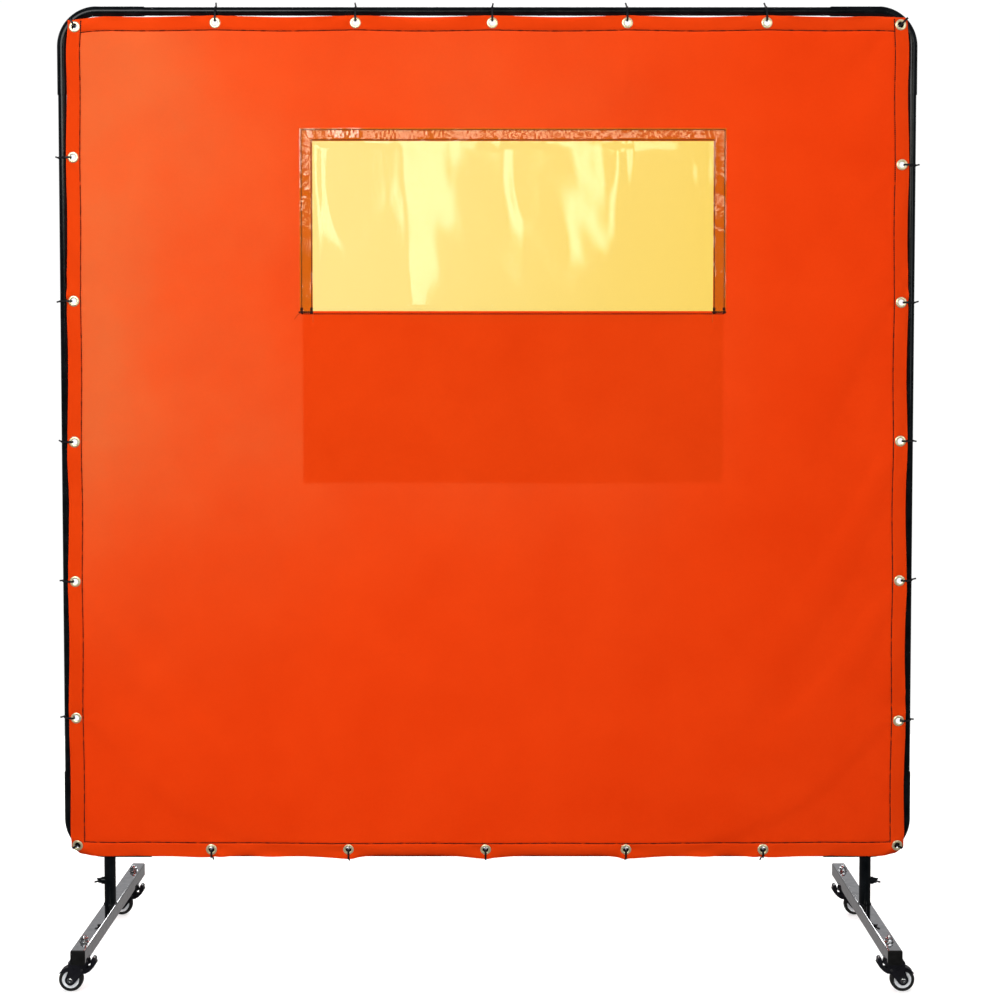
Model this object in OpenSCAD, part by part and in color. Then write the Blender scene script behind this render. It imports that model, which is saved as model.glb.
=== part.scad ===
// Rolling welding curtain screen: a tube frame on two wheeled feet carries a laced
// curtain with a see-through window and a flap that covers the window from behind.
// Origin on the floor under the middle of the frame; +Z up, +X to the right, front is -Y.

/* [Screen frame] */
// Width of the frame over its corner sleeves
frame_w = 1860; // [1700:5:1880]
// Height of the frame over its corner sleeves
frame_h = 1858; // [1840:2:1900]
// Height of the frame's lowest edge above the floor
frame_z = 207; // [200:1:240]
// Outer diameter of the rails and uprights
tube_d = 19; // [16:0.5:20]
// Wall of the rails, uprights and sleeves
tube_wall = 1.2; // [1:0.1:2]
// Outer diameter of the corner sleeves
sleeve_d = 22; // [21.6:0.1:24]
// Bend radius of the corner sleeves, to their centre line
bend_r = 76; // [60:1:90]
// Distance that a corner sleeve covers, measured from the frame's outer edge
sleeve_reach = 190; // [160:5:220]
// Length of tube hidden inside each sleeve
tube_insert = 60; // [30:5:80]

/* [Curtain] */
// Width of the curtain
curtain_w = 1829; // [1700:1:1835]
// Height of the curtain
curtain_h = 1829; // [1815:1:1835]
// Height of the curtain's lower edge above the floor
curtain_z = 213; // [210:1:220]
// Thickness of the curtain cloth and of its hem
curtain_t = 1; // [0.5:0.1:1.2]
// Width of the folded hem
hem_w = 30; // [25:1:40]
// Distance of the grommets' centres from the curtain's edge
grommet_inset = 15; // [14:0.5:16]
// Number of grommets along each side, corners included
grommet_count = 7; // [5:1:9]
// Outer diameter of a grommet
grommet_d = 24; // [20:1:26]
// Hole through a grommet
grommet_hole = 13; // [12:0.5:14]
// Width of a cable tie
tie_w = 3.6; // [2.5:0.1:4.8]
// Thickness of a cable tie
tie_t = 1.2; // [1:0.1:1.3]

/* [Window] */
// Left edge of the window opening, seen from the front
window_x = -378; // [-450:1:-300]
// Width of the window opening
window_w = 867; // [700:1:900]
// Height of the window opening's lower edge above the floor
window_z = 1405; // [1300:1:1450]
// Height of the window opening
window_h = 370; // [300:1:400]
// Width of the clear sheet's border in front of the curtain
pane_border = 28; // [20:1:35]
// Thickness of the clear sheet
pane_t = 0.5; // [0.3:0.1:0.8]
// Length of the flap that hangs behind the curtain below the window
flap_h = 370; // [300:1:400]
// Width by which the flap is wider than the opening on each side
flap_border = 22; // [20:1:30]
// Width of the hook-and-loop strips
strip_w = 16; // [12:1:18]

/* [Feet] */
// Distance of the posts from the middle of the screen
post_x = 832; // [800:1:834]
// Outer diameter of the posts
post_d = 25; // [24.4:0.1:28]
// Outer diameter of the stubs under the frame, which stand in the posts
stub_d = 21.8; // [20:0.1:22]
// Height of the wing bolts above the floor
wing_z = 155; // [145:1:165]
// Length of a foot bar from front to back
bar_len = 610; // [560:5:700]
// Width and height of the foot bars
bar_w = 30; // [28:1:35]
// Height of the foot bars' underside above the floor
bar_z = 73; // [73:0.5:76]
// Wall of the foot bars
bar_wall = 1.5; // [1.2:0.1:2]

/* [Casters] */
// Diameter of the wheels
wheel_d = 50; // [48:1:50]
// Width of the wheels
wheel_w = 18; // [16:1:18]
// Distance of the caster stems from the middle of a foot bar
caster_y = 248; // [200:1:255]
// Distance by which each wheel trails behind its stem
trail = 27; // [26:0.5:30]

/* [Hidden] */
$fn = 64;

// Sides and ends
LEFT = -1;
RIGHT = 1;
FRONT = -1;
REAR = 1;
BOTTOM = -1;
TOP = 1;

// Colours
black_paint = [0.06, 0.06, 0.07];
black_plastic = [0.04, 0.04, 0.05];
curtain_orange = [0.94, 0.29, 0.07];
hem_orange = [0.84, 0.22, 0.05];
pane_amber = [0.97, 0.86, 0.48, 0.7];
brass = [0.86, 0.78, 0.55];
chrome = [0.8, 0.8, 0.82];
steel = [0.65, 0.65, 0.67];
wheel_grey = [0.82, 0.82, 0.84];

// Centre lines of the frame's tubes
upright_x = frame_w / 2 - sleeve_d / 2;
top_z = frame_z + frame_h - sleeve_d / 2;
bottom_z = frame_z + sleeve_d / 2;
sleeve_leg = sleeve_reach - sleeve_d / 2 - bend_r;
slip = 0.1;                              // radial gap of a tube in a sleeve
sleeve_bore_r = tube_d / 2 + slip;

// Layers of the curtain, from the front (-Y) to the back
cloth_front = -15.5;
cloth_back = cloth_front + curtain_t;
hem_back = cloth_back + curtain_t;
pane_front = cloth_front - pane_t;
pane_tuck = 20;                          // height of the sheet tucked behind the cloth below the opening
strip_t = 0.8;
strip_len = window_h - 40;
strip_rise = 20;                         // gap between the flap's pivot and its strips
flap_y = -12;                            // pivot of the flap: its cloth folds at this depth
flap_roll_r = 0.9;                       // radius of the rolled seam on the pivot
flap_x = window_x - flap_border;
flap_w = window_w + 2 * flap_border;

// Grommets
grommet_x = curtain_w / 2 - grommet_inset;
grommet_low = curtain_z + grommet_inset;
grommet_high = curtain_z + curtain_h - grommet_inset;
grommet_pitch = 2 * grommet_x / (grommet_count - 1);
grommet_rim = 1;                         // thickness of a grommet's rims
barrel_r = grommet_hole / 2 + 1;
ROW = [for (i = [0 : grommet_count - 1]) -grommet_x + i * grommet_pitch];
SIDE = [for (i = [1 : grommet_count - 2])
    grommet_low + i * (grommet_high - grommet_low) / (grommet_count - 1)];
GROMMETS = concat(
    [for (x = ROW, z = [grommet_low, grommet_high]) [x, z]],
    [for (z = SIDE, x = [-grommet_x, grommet_x]) [x, z]]
);

// Cable ties
tie_gap = 0.4;                           // gap between a tie and the tube inside it
tie_front = cloth_front - grommet_rim - 0.7;
tie_back = hem_back + 0.5;
tie_head = [3.6, 5, 5];
tie_tail = 4.5;

// Feet
bar_top = bar_z + bar_w;
post_top = frame_z - 0.5;
post_bore_r = stub_d / 2 + slip;
stub_end = bar_top + 9;
bolt_r = 4;
boss_r = 8;
boss_end = post_d / 2 + 5.5;
cap_t = 3;
corner_r = 3;                            // rounding of the bars' corners
stem_r = 5;
nut_h = 8;
nut_r = 9.8;

// Casters, with the stem on the local Z axis and the wheel trailing along local +X
axle_r = 3;
axle_z = wheel_d / 2;
tyre_t = 7.2;
run = 0.3;                               // gap at the top and bottom of the swivel head
race_t = 2.2;                            // bearing plate between the head and the bar
head_top = bar_z - race_t - run;
crown_z = 56;
crown_h = 10;
fork_gap = wheel_w / 2 + 1;
fork_t = 2.4;
pin = [3, 46];                           // brake lever's pin, in the wheel's plane
pin_r = 2;

// ---------------------------------------------------------------- helpers

// Puts local +X outwards on one side of the screen, at the post
module at_side(side) {
    translate([side * post_x, 0, 0])
        mirror([side < 0 ? 1 : 0, 0, 0])
            children();
}

// Puts a caster's local frame at one end of one foot
module at_caster(side, end) {
    translate([0, end * caster_y, 0])
        at_side(side)
            children();
}

// Puts the centre of a bend at one corner of the frame
module at_corner(side, level) {
    translate([side * (upright_x - bend_r), 0, level > 0 ? top_z - bend_r : bottom_z + bend_r])
        mirror([side < 0 ? 1 : 0, 0, 0])
            mirror([0, 0, level < 0 ? 1 : 0])
                children();
}

// Cylinder along X
module rod_x(r, x0, x1) {
    translate([x0, 0, 0])
        rotate([0, 90, 0])
            cylinder(h = x1 - x0, r = r);
}

// Cylinder along Y
module rod_y(r, y0, y1) {
    translate([0, y0, 0])
        rotate([-90, 0, 0])
            cylinder(h = y1 - y0, r = r);
}

// Round tube along Z
module tube(r, wall, h) {
    difference() {
        cylinder(h = h, r = r);
        translate([0, 0, -1])
            cylinder(h = h + 2, r = r - wall);
    }
}

// Flat outline with round corners, centred
module rounded(w, h, r) {
    square([w - 2 * r, h], center = true);
    square([w, h - 2 * r], center = true);
    for (x = [-1, 1], y = [-1, 1])
        translate([x * (w / 2 - r), y * (h / 2 - r)])
            circle(r = r);
}

// Sheet in the plane of the curtain, from (x, z) with a width and height
module sheet(x, z, w, h, y0, y1) {
    translate([x, y0, z])
        cube([w, y1 - y0, h]);
}

// ---------------------------------------------------------------- frame

module rail(z) {
    color(black_paint)
        translate([-frame_w / 2 + sleeve_reach - tube_insert, 0, z])
            rotate([0, 90, 0])
                tube(tube_d / 2, tube_wall, frame_w - 2 * (sleeve_reach - tube_insert));
}

module upright(side) {
    color(black_paint)
        translate([side * upright_x, 0, frame_z + sleeve_reach - tube_insert])
            tube(tube_d / 2, tube_wall, frame_h - 2 * (sleeve_reach - tube_insert));
}

// Quarter bend with two straight legs; extra lengthens the legs
module bend(r, extra) {
    rotate([90, 0, 0])
        rotate_extrude(angle = 90)
            translate([bend_r, 0])
                circle(r = r);
    translate([0, 0, bend_r])
        rod_x(r, -sleeve_leg - extra, 0);
    translate([bend_r, 0, -sleeve_leg - extra])
        cylinder(h = sleeve_leg + extra, r = r);
}

module corner_top(side) {
    color(black_paint)
        at_corner(side, TOP)
            difference() {
                bend(sleeve_d / 2, 0);
                bend(sleeve_bore_r, 1);
            }
}

// The lower corners carry a welded stub that stands in the foot's post
module corner_bottom(side) {
    color(black_paint)
        difference() {
            union() {
                at_corner(side, BOTTOM)
                    bend(sleeve_d / 2, 0);
                translate([side * post_x, 0, stub_end])
                    cylinder(h = bottom_z - stub_end, r = stub_d / 2);
            }
            at_corner(side, BOTTOM)
                bend(sleeve_bore_r, 1);
            translate([side * post_x, 0, stub_end - 1])
                cylinder(h = frame_z - stub_end - 3, r = stub_d / 2 - 1.5);
        }
}

// ---------------------------------------------------------------- curtain

module grommet_holes() {
    for (p = GROMMETS)
        translate([p[0], 0, p[1]])
            rod_y(barrel_r + slip, cloth_front - 1, hem_back + 1);
}

module curtain() {
    color(curtain_orange)
        difference() {
            sheet(-curtain_w / 2, curtain_z, curtain_w, curtain_h, cloth_front, cloth_back);
            sheet(window_x, window_z, window_w, window_h, cloth_front - 1, cloth_back + 1);
            grommet_holes();
        }
}

module hem() {
    color(hem_orange)
        difference() {
            sheet(-curtain_w / 2, curtain_z, curtain_w, curtain_h, cloth_back, hem_back);
            sheet(-curtain_w / 2 + hem_w, curtain_z + hem_w, curtain_w - 2 * hem_w,
                curtain_h - 2 * hem_w, cloth_back - 1, hem_back + 1);
            grommet_holes();
        }
}

// The clear sheet lies in front of the cloth and is tucked behind it below the opening
module window_pane() {
    color(pane_amber) {
        sheet(window_x - pane_border, window_z, window_w + 2 * pane_border,
            window_h + pane_border, pane_front, cloth_front);
        sheet(window_x, window_z, window_w, pane_t, cloth_front, cloth_back);
        sheet(window_x, window_z - pane_tuck, window_w, pane_tuck + pane_t,
            cloth_back, cloth_back + pane_t);
    }
}

module window_loop_strips() {
    color(black_plastic)
        for (x = [flap_x, flap_x + flap_w - strip_w])
            sheet(x, window_z + strip_rise, strip_w, strip_len, cloth_back, cloth_back + strip_t);
}

module grommets() {
    color(brass)
        for (p = GROMMETS)
            translate([p[0], 0, p[1]])
                difference() {
                    union() {
                        rod_y(grommet_d / 2, cloth_front - grommet_rim, cloth_front);
                        rod_y(barrel_r, cloth_front - grommet_rim, hem_back + grommet_rim);
                        rod_y(grommet_d / 2, hem_back, hem_back + grommet_rim);
                    }
                    rod_y(grommet_hole / 2, cloth_front - 3, hem_back + 3);
                }
}

// ---------------------------------------------------------------- cable ties

// Inner outline of a tie: u runs outwards from the tube's centre, v from front to back
module tie_inside(r, u_hole, u_edge) {
    hull() {
        circle(r = r + tie_gap, $fn = 24);
        translate([u_hole, tie_front])
            square([u_edge - u_hole, tie_back - tie_front]);
    }
}

// The same on a bend, where the tie also passes between the tube and the curtain
module tie_inside_bend(r, u_hole, u_edge) {
    circle(r = r, $fn = 24);
    hull() {
        intersection() {
            circle(r = r, $fn = 24);
            translate([r / 2, -r])
                square([r, 2 * r]);
        }
        translate([u_hole, tie_front])
            square([u_edge - u_hole, tie_back - tie_front]);
    }
}

// Closed tie around its inner outline, with the head and cut tail at distance u_head
module tie(u_head) {
    linear_extrude(tie_w, center = true)
        difference() {
            offset(r = tie_t, $fn = 16)
                children();
            children();
        }
    translate([u_head, -tie_head[1] / 2, -tie_head[2] / 2])
        cube(tie_head);
    translate([u_head, -tie_t / 2, -tie_w / 2])
        cube([tie_head[0] + tie_tail, tie_t, tie_w]);
}

// Tie on a straight tube: (x, z) is the tube's centre, angle its outward direction
module straight_tie(x, z, angle, u_grommet, u_edge) {
    r = tube_d / 2;
    translate([x, 0, z])
        rotate([0, -angle, 0])
            tie(r + tie_gap + tie_t / 2)
                tie_inside(r, min(u_grommet + 3, -r - tie_gap), u_edge);
}

// Tie on a bend, through the curtain's corner grommet
module corner_tie(side, level) {
    r = sleeve_d / 2 + slip;
    centre_z = level > 0 ? top_z - bend_r : bottom_z + bend_r;
    dx = grommet_x - (upright_x - bend_r);
    dz = level * ((level > 0 ? grommet_high : grommet_low) - centre_z);
    edge = norm([dx + grommet_inset, dz + grommet_inset]) - bend_r + 1;
    hole = norm([dx, dz]) - bend_r;
    slant = atan2(tie_back, edge) + acos(r / norm([edge, tie_back]));
    at_corner(side, level)
        rotate([0, -atan2(dz, dx), 0])
            translate([bend_r, 0, 0])
                tie((r + tie_t / 2) / cos(slant))
                    tie_inside_bend(r, hole - 1, edge);
}

module ties_top() {
    color(black_plastic) {
        for (i = [1 : grommet_count - 2])
            straight_tie(ROW[i], top_z, 90, grommet_high - top_z, 0);
        corner_tie(LEFT, TOP);
        corner_tie(RIGHT, TOP);
    }
}

module ties_bottom() {
    color(black_plastic) {
        for (i = [1 : grommet_count - 2])
            straight_tie(ROW[i], bottom_z, -90, bottom_z - grommet_low, bottom_z - curtain_z + 0.5);
        corner_tie(LEFT, BOTTOM);
        corner_tie(RIGHT, BOTTOM);
    }
}

module ties_side(side) {
    color(black_plastic)
        for (z = SIDE)
            straight_tie(side * upright_x, z, side > 0 ? 0 : 180, grommet_x - upright_x, 0);
}

// ---------------------------------------------------------------- window flap

module flap_panel() {
    color(curtain_orange)
        union() {
            sheet(flap_x, window_z - flap_h, flap_w, flap_h, flap_y - curtain_t / 2, flap_y + curtain_t / 2);
            translate([flap_x, flap_y, window_z])
                rotate([0, 90, 0])
                    cylinder(r = flap_roll_r, h = flap_w);
        }
}

module flap_hook_strips() {
    color(black_plastic)
        for (x = [flap_x, flap_x + flap_w - strip_w])
            sheet(x, window_z - strip_rise - strip_len, strip_w, strip_len,
                flap_y + curtain_t / 2, flap_y + curtain_t / 2 + strip_t);
}

// ---------------------------------------------------------------- feet

module foot_bar(side) {
    color(chrome)
        translate([side * post_x, bar_len / 2, bar_z + bar_w / 2])
            rotate([90, 0, 0])
                difference() {
                    linear_extrude(bar_len)
                        rounded(bar_w, bar_w, corner_r);
                    translate([0, 0, -1])
                        linear_extrude(bar_len + 2)
                            rounded(bar_w - 2 * bar_wall, bar_w - 2 * bar_wall, corner_r - bar_wall);
                    for (y = [-1, 1])
                        translate([0, 0, bar_len / 2 + y * caster_y])
                            rotate([90, 0, 0])
                                cylinder(h = bar_w + 2, r = stem_r + slip, center = true);
                }
}

module post(side) {
    color(black_paint)
        at_side(side)
            difference() {
                translate([0, 0, bar_top])
                    cylinder(h = post_top - bar_top, r = post_d / 2);
                translate([0, 0, bar_top - 1])
                    cylinder(h = post_top - bar_top + 2, r = post_bore_r);
                translate([0, 0, wing_z])
                    rod_x(bolt_r + 0.5, 0, post_d);
            }
}

module weld_nut(side) {
    color(black_paint)
        at_side(side)
            difference() {
                translate([0, 0, wing_z])
                    rod_x(boss_r, post_d / 2 - 3, boss_end);
                translate([0, 0, wing_z])
                    rod_x(bolt_r + 0.08, 0, post_d);
                translate([0, 0, wing_z - 2 * boss_r])
                    cylinder(h = 4 * boss_r, r = post_d / 2);
            }
}

module wing_bolt(side) {
    wing_t = 3;
    color(black_paint)
        at_side(side)
            translate([0, 0, wing_z]) {
                rod_x(bolt_r, stub_d / 2 + 0.3, boss_end + 2);
                rod_x(6.5, boss_end + 0.6, boss_end + 9);
                for (y = [-1, 1])
                    translate([0, 0, -wing_t / 2])
                        linear_extrude(wing_t)
                            hull() {
                                translate([boss_end + 5, y * 5])
                                    circle(r = 3, $fn = 32);
                                translate([boss_end + 10, y * 13])
                                    circle(r = 4.5, $fn = 32);
                            }
            }
}

module end_caps(side) {
    plug = bar_w - 2 * bar_wall - 0.4;
    color(black_plastic)
        for (end = [FRONT, REAR])
            translate([side * post_x, 0, bar_z + bar_w / 2])
                mirror([0, end < 0 ? 1 : 0, 0])
                    translate([0, bar_len / 2 + cap_t, 0])
                        rotate([90, 0, 0]) {
                            linear_extrude(cap_t)
                                rounded(bar_w, bar_w, corner_r);
                            translate([0, 0, cap_t])
                                linear_extrude(12)
                                    rounded(plug, plug, 1.2);
                        }
}

// Threaded stem with the bearing plate under the bar and the head that holds the fork
module stems(side) {
    color(steel)
        for (end = [FRONT, REAR])
            at_caster(side, end) {
                translate([0, 0, crown_z - run - 3])
                    cylinder(h = 3, r = 8);
                translate([0, 0, crown_z - run])
                    cylinder(h = bar_top + nut_h + 4 - crown_z + run, r = stem_r);
                translate([0, 0, bar_z - race_t])
                    cylinder(h = race_t, r = 13);
            }
}

module stem_nuts(side) {
    color(steel)
        for (end = [FRONT, REAR])
            at_caster(side, end)
                translate([0, 0, bar_top])
                    difference() {
                        cylinder(h = nut_h, r = nut_r, $fn = 6);
                        translate([0, 0, -1])
                            cylinder(h = nut_h + 2, r = stem_r + slip);
                    }
}

// ---------------------------------------------------------------- casters

// Side of the fork, drawn in the wheel's plane
module fork_side() {
    hull() {
        translate([trail, axle_z])
            circle(r = 11, $fn = 32);
        translate([pin[0] - 1, pin[1] + 1])
            circle(r = 5.5, $fn = 32);
        translate([-4, crown_z])
            square([32, crown_h]);
    }
}

module fork() {
    color(black_plastic)
        difference() {
            union() {
                for (y = [-fork_gap, fork_gap + fork_t])
                    translate([0, y, 0])
                        rotate([90, 0, 0])
                            linear_extrude(fork_t)
                                fork_side();
                hull() {
                    translate([0, 0, crown_z])
                        cylinder(h = crown_h, r = 13, $fn = 32);
                    translate([trail / 2, 0, crown_z])
                        cylinder(h = crown_h, r = fork_gap + fork_t, $fn = 32);
                }
                translate([0, 0, crown_z + 1])
                    cylinder(h = head_top - crown_z - 1, r = 12);
            }
            translate([0, 0, crown_z - 1])
                cylinder(h = 20, r = stem_r + slip);
            translate([trail, 0, axle_z])
                rod_y(axle_r + slip, -20, 20);
            translate([pin[0], 0, pin[1]])
                rod_y(pin_r + slip, -20, 20);
        }
}

module axle() {
    side_y = fork_gap + fork_t;
    color(steel)
        translate([trail, 0, axle_z]) {
            rod_y(axle_r, -side_y, side_y);
            rotate([90, 0, 0]) {
                translate([0, 0, side_y])
                    cylinder(h = 4, r = 6.3, $fn = 6);
                translate([0, 0, -side_y - 5])
                    cylinder(h = 5, r = 6.3, $fn = 6);
            }
        }
}

// Wheel centre: hub, web and rim, drawn as half a section
module wheel() {
    rim_r = wheel_d / 2 - tyre_t - slip;
    color(wheel_grey)
        translate([trail, 0, axle_z])
            rotate([90, 0, 0])
                rotate_extrude() {
                    translate([axle_r + slip, -fork_gap + 0.5])
                        square([3.5, 2 * fork_gap - 1]);
                    translate([axle_r + slip, -4])
                        square([rim_r - axle_r - slip, 8]);
                    translate([rim_r - 3.5, -wheel_w / 2 + 1])
                        square([3.5, wheel_w - 2]);
                }
}

module tyre() {
    color(black_plastic)
        translate([trail, 0, axle_z])
            rotate([90, 0, 0])
                rotate_extrude()
                    translate([wheel_d / 2 - tyre_t / 2, 0])
                        rounded(tyre_t, wheel_w, 3);
}

module brake_lever() {
    color(black_plastic)
        difference() {
            translate([0, wheel_w / 2, 0])
                rotate([90, 0, 0])
                    linear_extrude(wheel_w)
                        polygon([
                            [5.6, 40], [7, 46], [5.5, 49.3], [3, 50], [-10, 50], [-14, 55], [-16, 60],
                            [-22, 69.5], [-25, 69.5], [-26, 62], [-4, 40], [1, 38]
                        ]);
            translate([pin[0], 0, pin[1]])
                rod_y(pin_r + 0.08, -20, 20);
        }
}

module brake_pin() {
    side_y = fork_gap + fork_t;
    color(steel)
        translate([pin[0], 0, pin[1]]) {
            rod_y(pin_r, -side_y - 1, side_y + 1);
            rod_y(pin_r + 1, -side_y - 1, -side_y);
            rod_y(pin_r + 1, side_y, side_y + 1);
        }
}

// ---------------------------------------------------------------- nodes

rail(top_z);  // top_rail
rail(bottom_z);  // bottom_rail
upright(LEFT);  // left_upright
upright(RIGHT);  // right_upright
corner_top(LEFT);  // corner_top_left
corner_top(RIGHT);  // corner_top_right
corner_bottom(LEFT);  // corner_bottom_left
corner_bottom(RIGHT);  // corner_bottom_right
curtain();
hem();
window_pane();
window_loop_strips();
grommets();
ties_top();
ties_bottom();
ties_side(LEFT);  // ties_left
ties_side(RIGHT);  // ties_right
flap_panel();
flap_hook_strips();

foot_bar(LEFT);  // left_foot_bar
post(LEFT);  // left_post
weld_nut(LEFT);  // left_weld_nut
end_caps(LEFT);  // left_end_caps
stems(LEFT);  // left_stems
stem_nuts(LEFT);  // left_stem_nuts
wing_bolt(LEFT);  // left_wing_bolt
foot_bar(RIGHT);  // right_foot_bar
post(RIGHT);  // right_post
weld_nut(RIGHT);  // right_weld_nut
end_caps(RIGHT);  // right_end_caps
stems(RIGHT);  // right_stems
stem_nuts(RIGHT);  // right_stem_nuts
wing_bolt(RIGHT);  // right_wing_bolt

at_caster(LEFT, FRONT) fork();  // front_left_fork
at_caster(LEFT, FRONT) axle();  // front_left_axle
at_caster(LEFT, FRONT) wheel();  // front_left_wheel
at_caster(LEFT, FRONT) tyre();  // front_left_tyre
at_caster(LEFT, FRONT) brake_lever();  // front_left_brake_lever
at_caster(LEFT, FRONT) brake_pin();  // front_left_brake_pin
at_caster(RIGHT, FRONT) fork();  // front_right_fork
at_caster(RIGHT, FRONT) axle();  // front_right_axle
at_caster(RIGHT, FRONT) wheel();  // front_right_wheel
at_caster(RIGHT, FRONT) tyre();  // front_right_tyre
at_caster(RIGHT, FRONT) brake_lever();  // front_right_brake_lever
at_caster(RIGHT, FRONT) brake_pin();  // front_right_brake_pin
at_caster(LEFT, REAR) fork();  // rear_left_fork
at_caster(LEFT, REAR) axle();  // rear_left_axle
at_caster(LEFT, REAR) wheel();  // rear_left_wheel
at_caster(LEFT, REAR) tyre();  // rear_left_tyre
at_caster(LEFT, REAR) brake_lever();  // rear_left_brake_lever
at_caster(LEFT, REAR) brake_pin();  // rear_left_brake_pin
at_caster(RIGHT, REAR) fork();  // rear_right_fork
at_caster(RIGHT, REAR) axle();  // rear_right_axle
at_caster(RIGHT, REAR) wheel();  // rear_right_wheel
at_caster(RIGHT, REAR) tyre();  // rear_right_tyre
at_caster(RIGHT, REAR) brake_lever();  // rear_right_brake_lever
at_caster(RIGHT, REAR) brake_pin();  // rear_right_brake_pin
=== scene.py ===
"""Looks of the rolling welding curtain screen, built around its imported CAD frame.

Metres, in the frame's own axes: +X to the right, -Y to the front, +Z up.
The curtain's flat cut has the coordinates u (across) and w (up), which are x and z before lacing.
"""
import math
import random

import bmesh
import bpy
import numpy as np
from mathutils import Matrix, Vector


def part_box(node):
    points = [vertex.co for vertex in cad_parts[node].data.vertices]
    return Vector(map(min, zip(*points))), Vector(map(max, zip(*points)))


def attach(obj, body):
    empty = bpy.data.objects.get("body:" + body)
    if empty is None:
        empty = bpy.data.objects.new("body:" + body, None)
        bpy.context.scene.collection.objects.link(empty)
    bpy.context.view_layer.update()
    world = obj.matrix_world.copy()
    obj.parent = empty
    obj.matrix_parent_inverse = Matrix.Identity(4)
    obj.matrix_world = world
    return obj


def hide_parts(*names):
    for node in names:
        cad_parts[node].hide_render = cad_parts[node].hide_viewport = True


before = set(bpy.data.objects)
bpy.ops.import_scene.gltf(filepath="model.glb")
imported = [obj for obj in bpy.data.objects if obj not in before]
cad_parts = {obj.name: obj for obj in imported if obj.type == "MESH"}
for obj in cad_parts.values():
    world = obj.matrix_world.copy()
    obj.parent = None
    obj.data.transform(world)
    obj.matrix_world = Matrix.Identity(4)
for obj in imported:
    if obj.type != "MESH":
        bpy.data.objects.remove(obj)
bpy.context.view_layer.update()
MM = 0.001
SIDES = {"left": -1, "right": 1}
ENDS = {"front": -1, "rear": 1}


# ---------------------------------------------------------------- sizes taken from the frame

def centre(node):
    """Middle of a CAD node's box."""
    low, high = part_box(node)
    return (low + high) / 2


curtain_low, curtain_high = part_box("curtain")
HALF = curtain_high.x
LOW, HIGH = curtain_low.z, curtain_high.z
CLOTH_Y = (curtain_low.y + curtain_high.y) / 2

TOP_Z = centre("top_rail").z
BOTTOM_Z = centre("bottom_rail").z
SIDE_X = centre("right_upright").x
TUBE_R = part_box("top_rail")[1].y
SLEEVE_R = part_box("corner_top_right")[1].y
BEND_R = 76 * MM

pane_low, pane_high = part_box("window_pane")
PANE_BORDER = 28 * MM
PANE_TUCK = 20 * MM
OPEN_X = (pane_low.x + PANE_BORDER, pane_high.x - PANE_BORDER)
OPEN_Z = (pane_low.z + PANE_TUCK, pane_high.z - PANE_BORDER)

flap_low, flap_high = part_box("flap_panel")
FLAP_Y = (flap_low.y + flap_high.y) / 2

POST_X = centre("right_post").x
POST_R = (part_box("right_post")[1].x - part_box("right_post")[0].x) / 2
BAR_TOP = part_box("right_foot_bar")[1].z
BAR_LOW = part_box("right_foot_bar")[0].z
WING_Z = centre("right_weld_nut").z
CASTER_Y = centre("rear_right_tyre").y
AXLE_Z = centre("rear_right_tyre").z
TRAIL = centre("rear_right_tyre").x - POST_X

HEM = 30 * MM
INSET = 15 * MM                     # grommets' centres, from the curtain's edge
ROW_COUNT = 7
PITCH = 2 * (HALF - INSET) / (ROW_COUNT - 1)
CLOTH_T = 0.8 * MM
GROMMET_R = 12 * MM
GROMMET_HOLE_R = 6.5 * MM
LOW_CORNER_OFF = (-0.5 * MM, 6.5 * MM)  # the lower corners' grommets sit further in

# How far each grommet between two corners was punched off its even place, in mm to the right or up
PUNCHED_OFF = {
    "top": (13, 16, 11, 2, 3), "bottom": (-6, -5, -4, 4, 5),
    "left": (-9, -9, -4, 2, 12), "right": (-15, -7, -2, -1, -4),
}


def row_places(side, first):
    """Places of one side's seven grommets along it."""
    off = (0, *PUNCHED_OFF[side], 0)
    return [first + INSET + i * PITCH + off[i] * MM for i in range(ROW_COUNT)]


ROWS = {side: row_places(side, -HALF if side in ("top", "bottom") else LOW) for side in PUNCHED_OFF}


def grommet_places():
    """Each grommet as (u, w, (outward x, outward z)); corners point along both."""
    places = []
    for side, level in (("bottom", -1), ("top", 1)):
        for i, u in enumerate(ROWS[side]):
            across = -1 if i == 0 else 1 if i == ROW_COUNT - 1 else 0
            w = LOW + INSET if level < 0 else HIGH - INSET
            if across and level < 0:
                u, w = u - across * LOW_CORNER_OFF[0], w + LOW_CORNER_OFF[1]
            places.append((u, w, (across, level)))
    for side, level in (("left", -1), ("right", 1)):
        places += [(level * (HALF - INSET), w, (level, 0)) for w in ROWS[side][1:-1]]
    return places


GROMMETS = grommet_places()


# ---------------------------------------------------------------- materials

def new_material(name, **values):
    """Principled material; values name its sockets with _ for a space."""
    material = bpy.data.materials.new(name)
    material.use_nodes = True
    shader = material.node_tree.nodes["Principled BSDF"]
    for key, value in values.items():
        if isinstance(value, tuple) and len(value) == 3:
            value = (*value, 1.0)
        shader.inputs[key.replace("_", " ")].default_value = value
    return material, material.node_tree, shader


def add_node(tree, kind, links=None, values=None, **settings):
    """Adds a node; links and values map its input names to sockets and numbers."""
    node = tree.nodes.new("ShaderNode" + kind)
    for key, value in settings.items():
        setattr(node, key, value)
    for key, value in (values or {}).items():
        node.inputs[key].default_value = value
    for key, socket in (links or {}).items():
        tree.links.new(socket, node.inputs[key])
    return node


def coordinates(tree, scale=(1, 1, 1)):
    """Object coordinates, stretched by scale."""
    place = add_node(tree, "TexCoord").outputs["Object"]
    if scale == (1, 1, 1):
        return place
    return add_node(tree, "Mapping", {"Vector": place}, {"Scale": scale}).outputs["Vector"]


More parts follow.
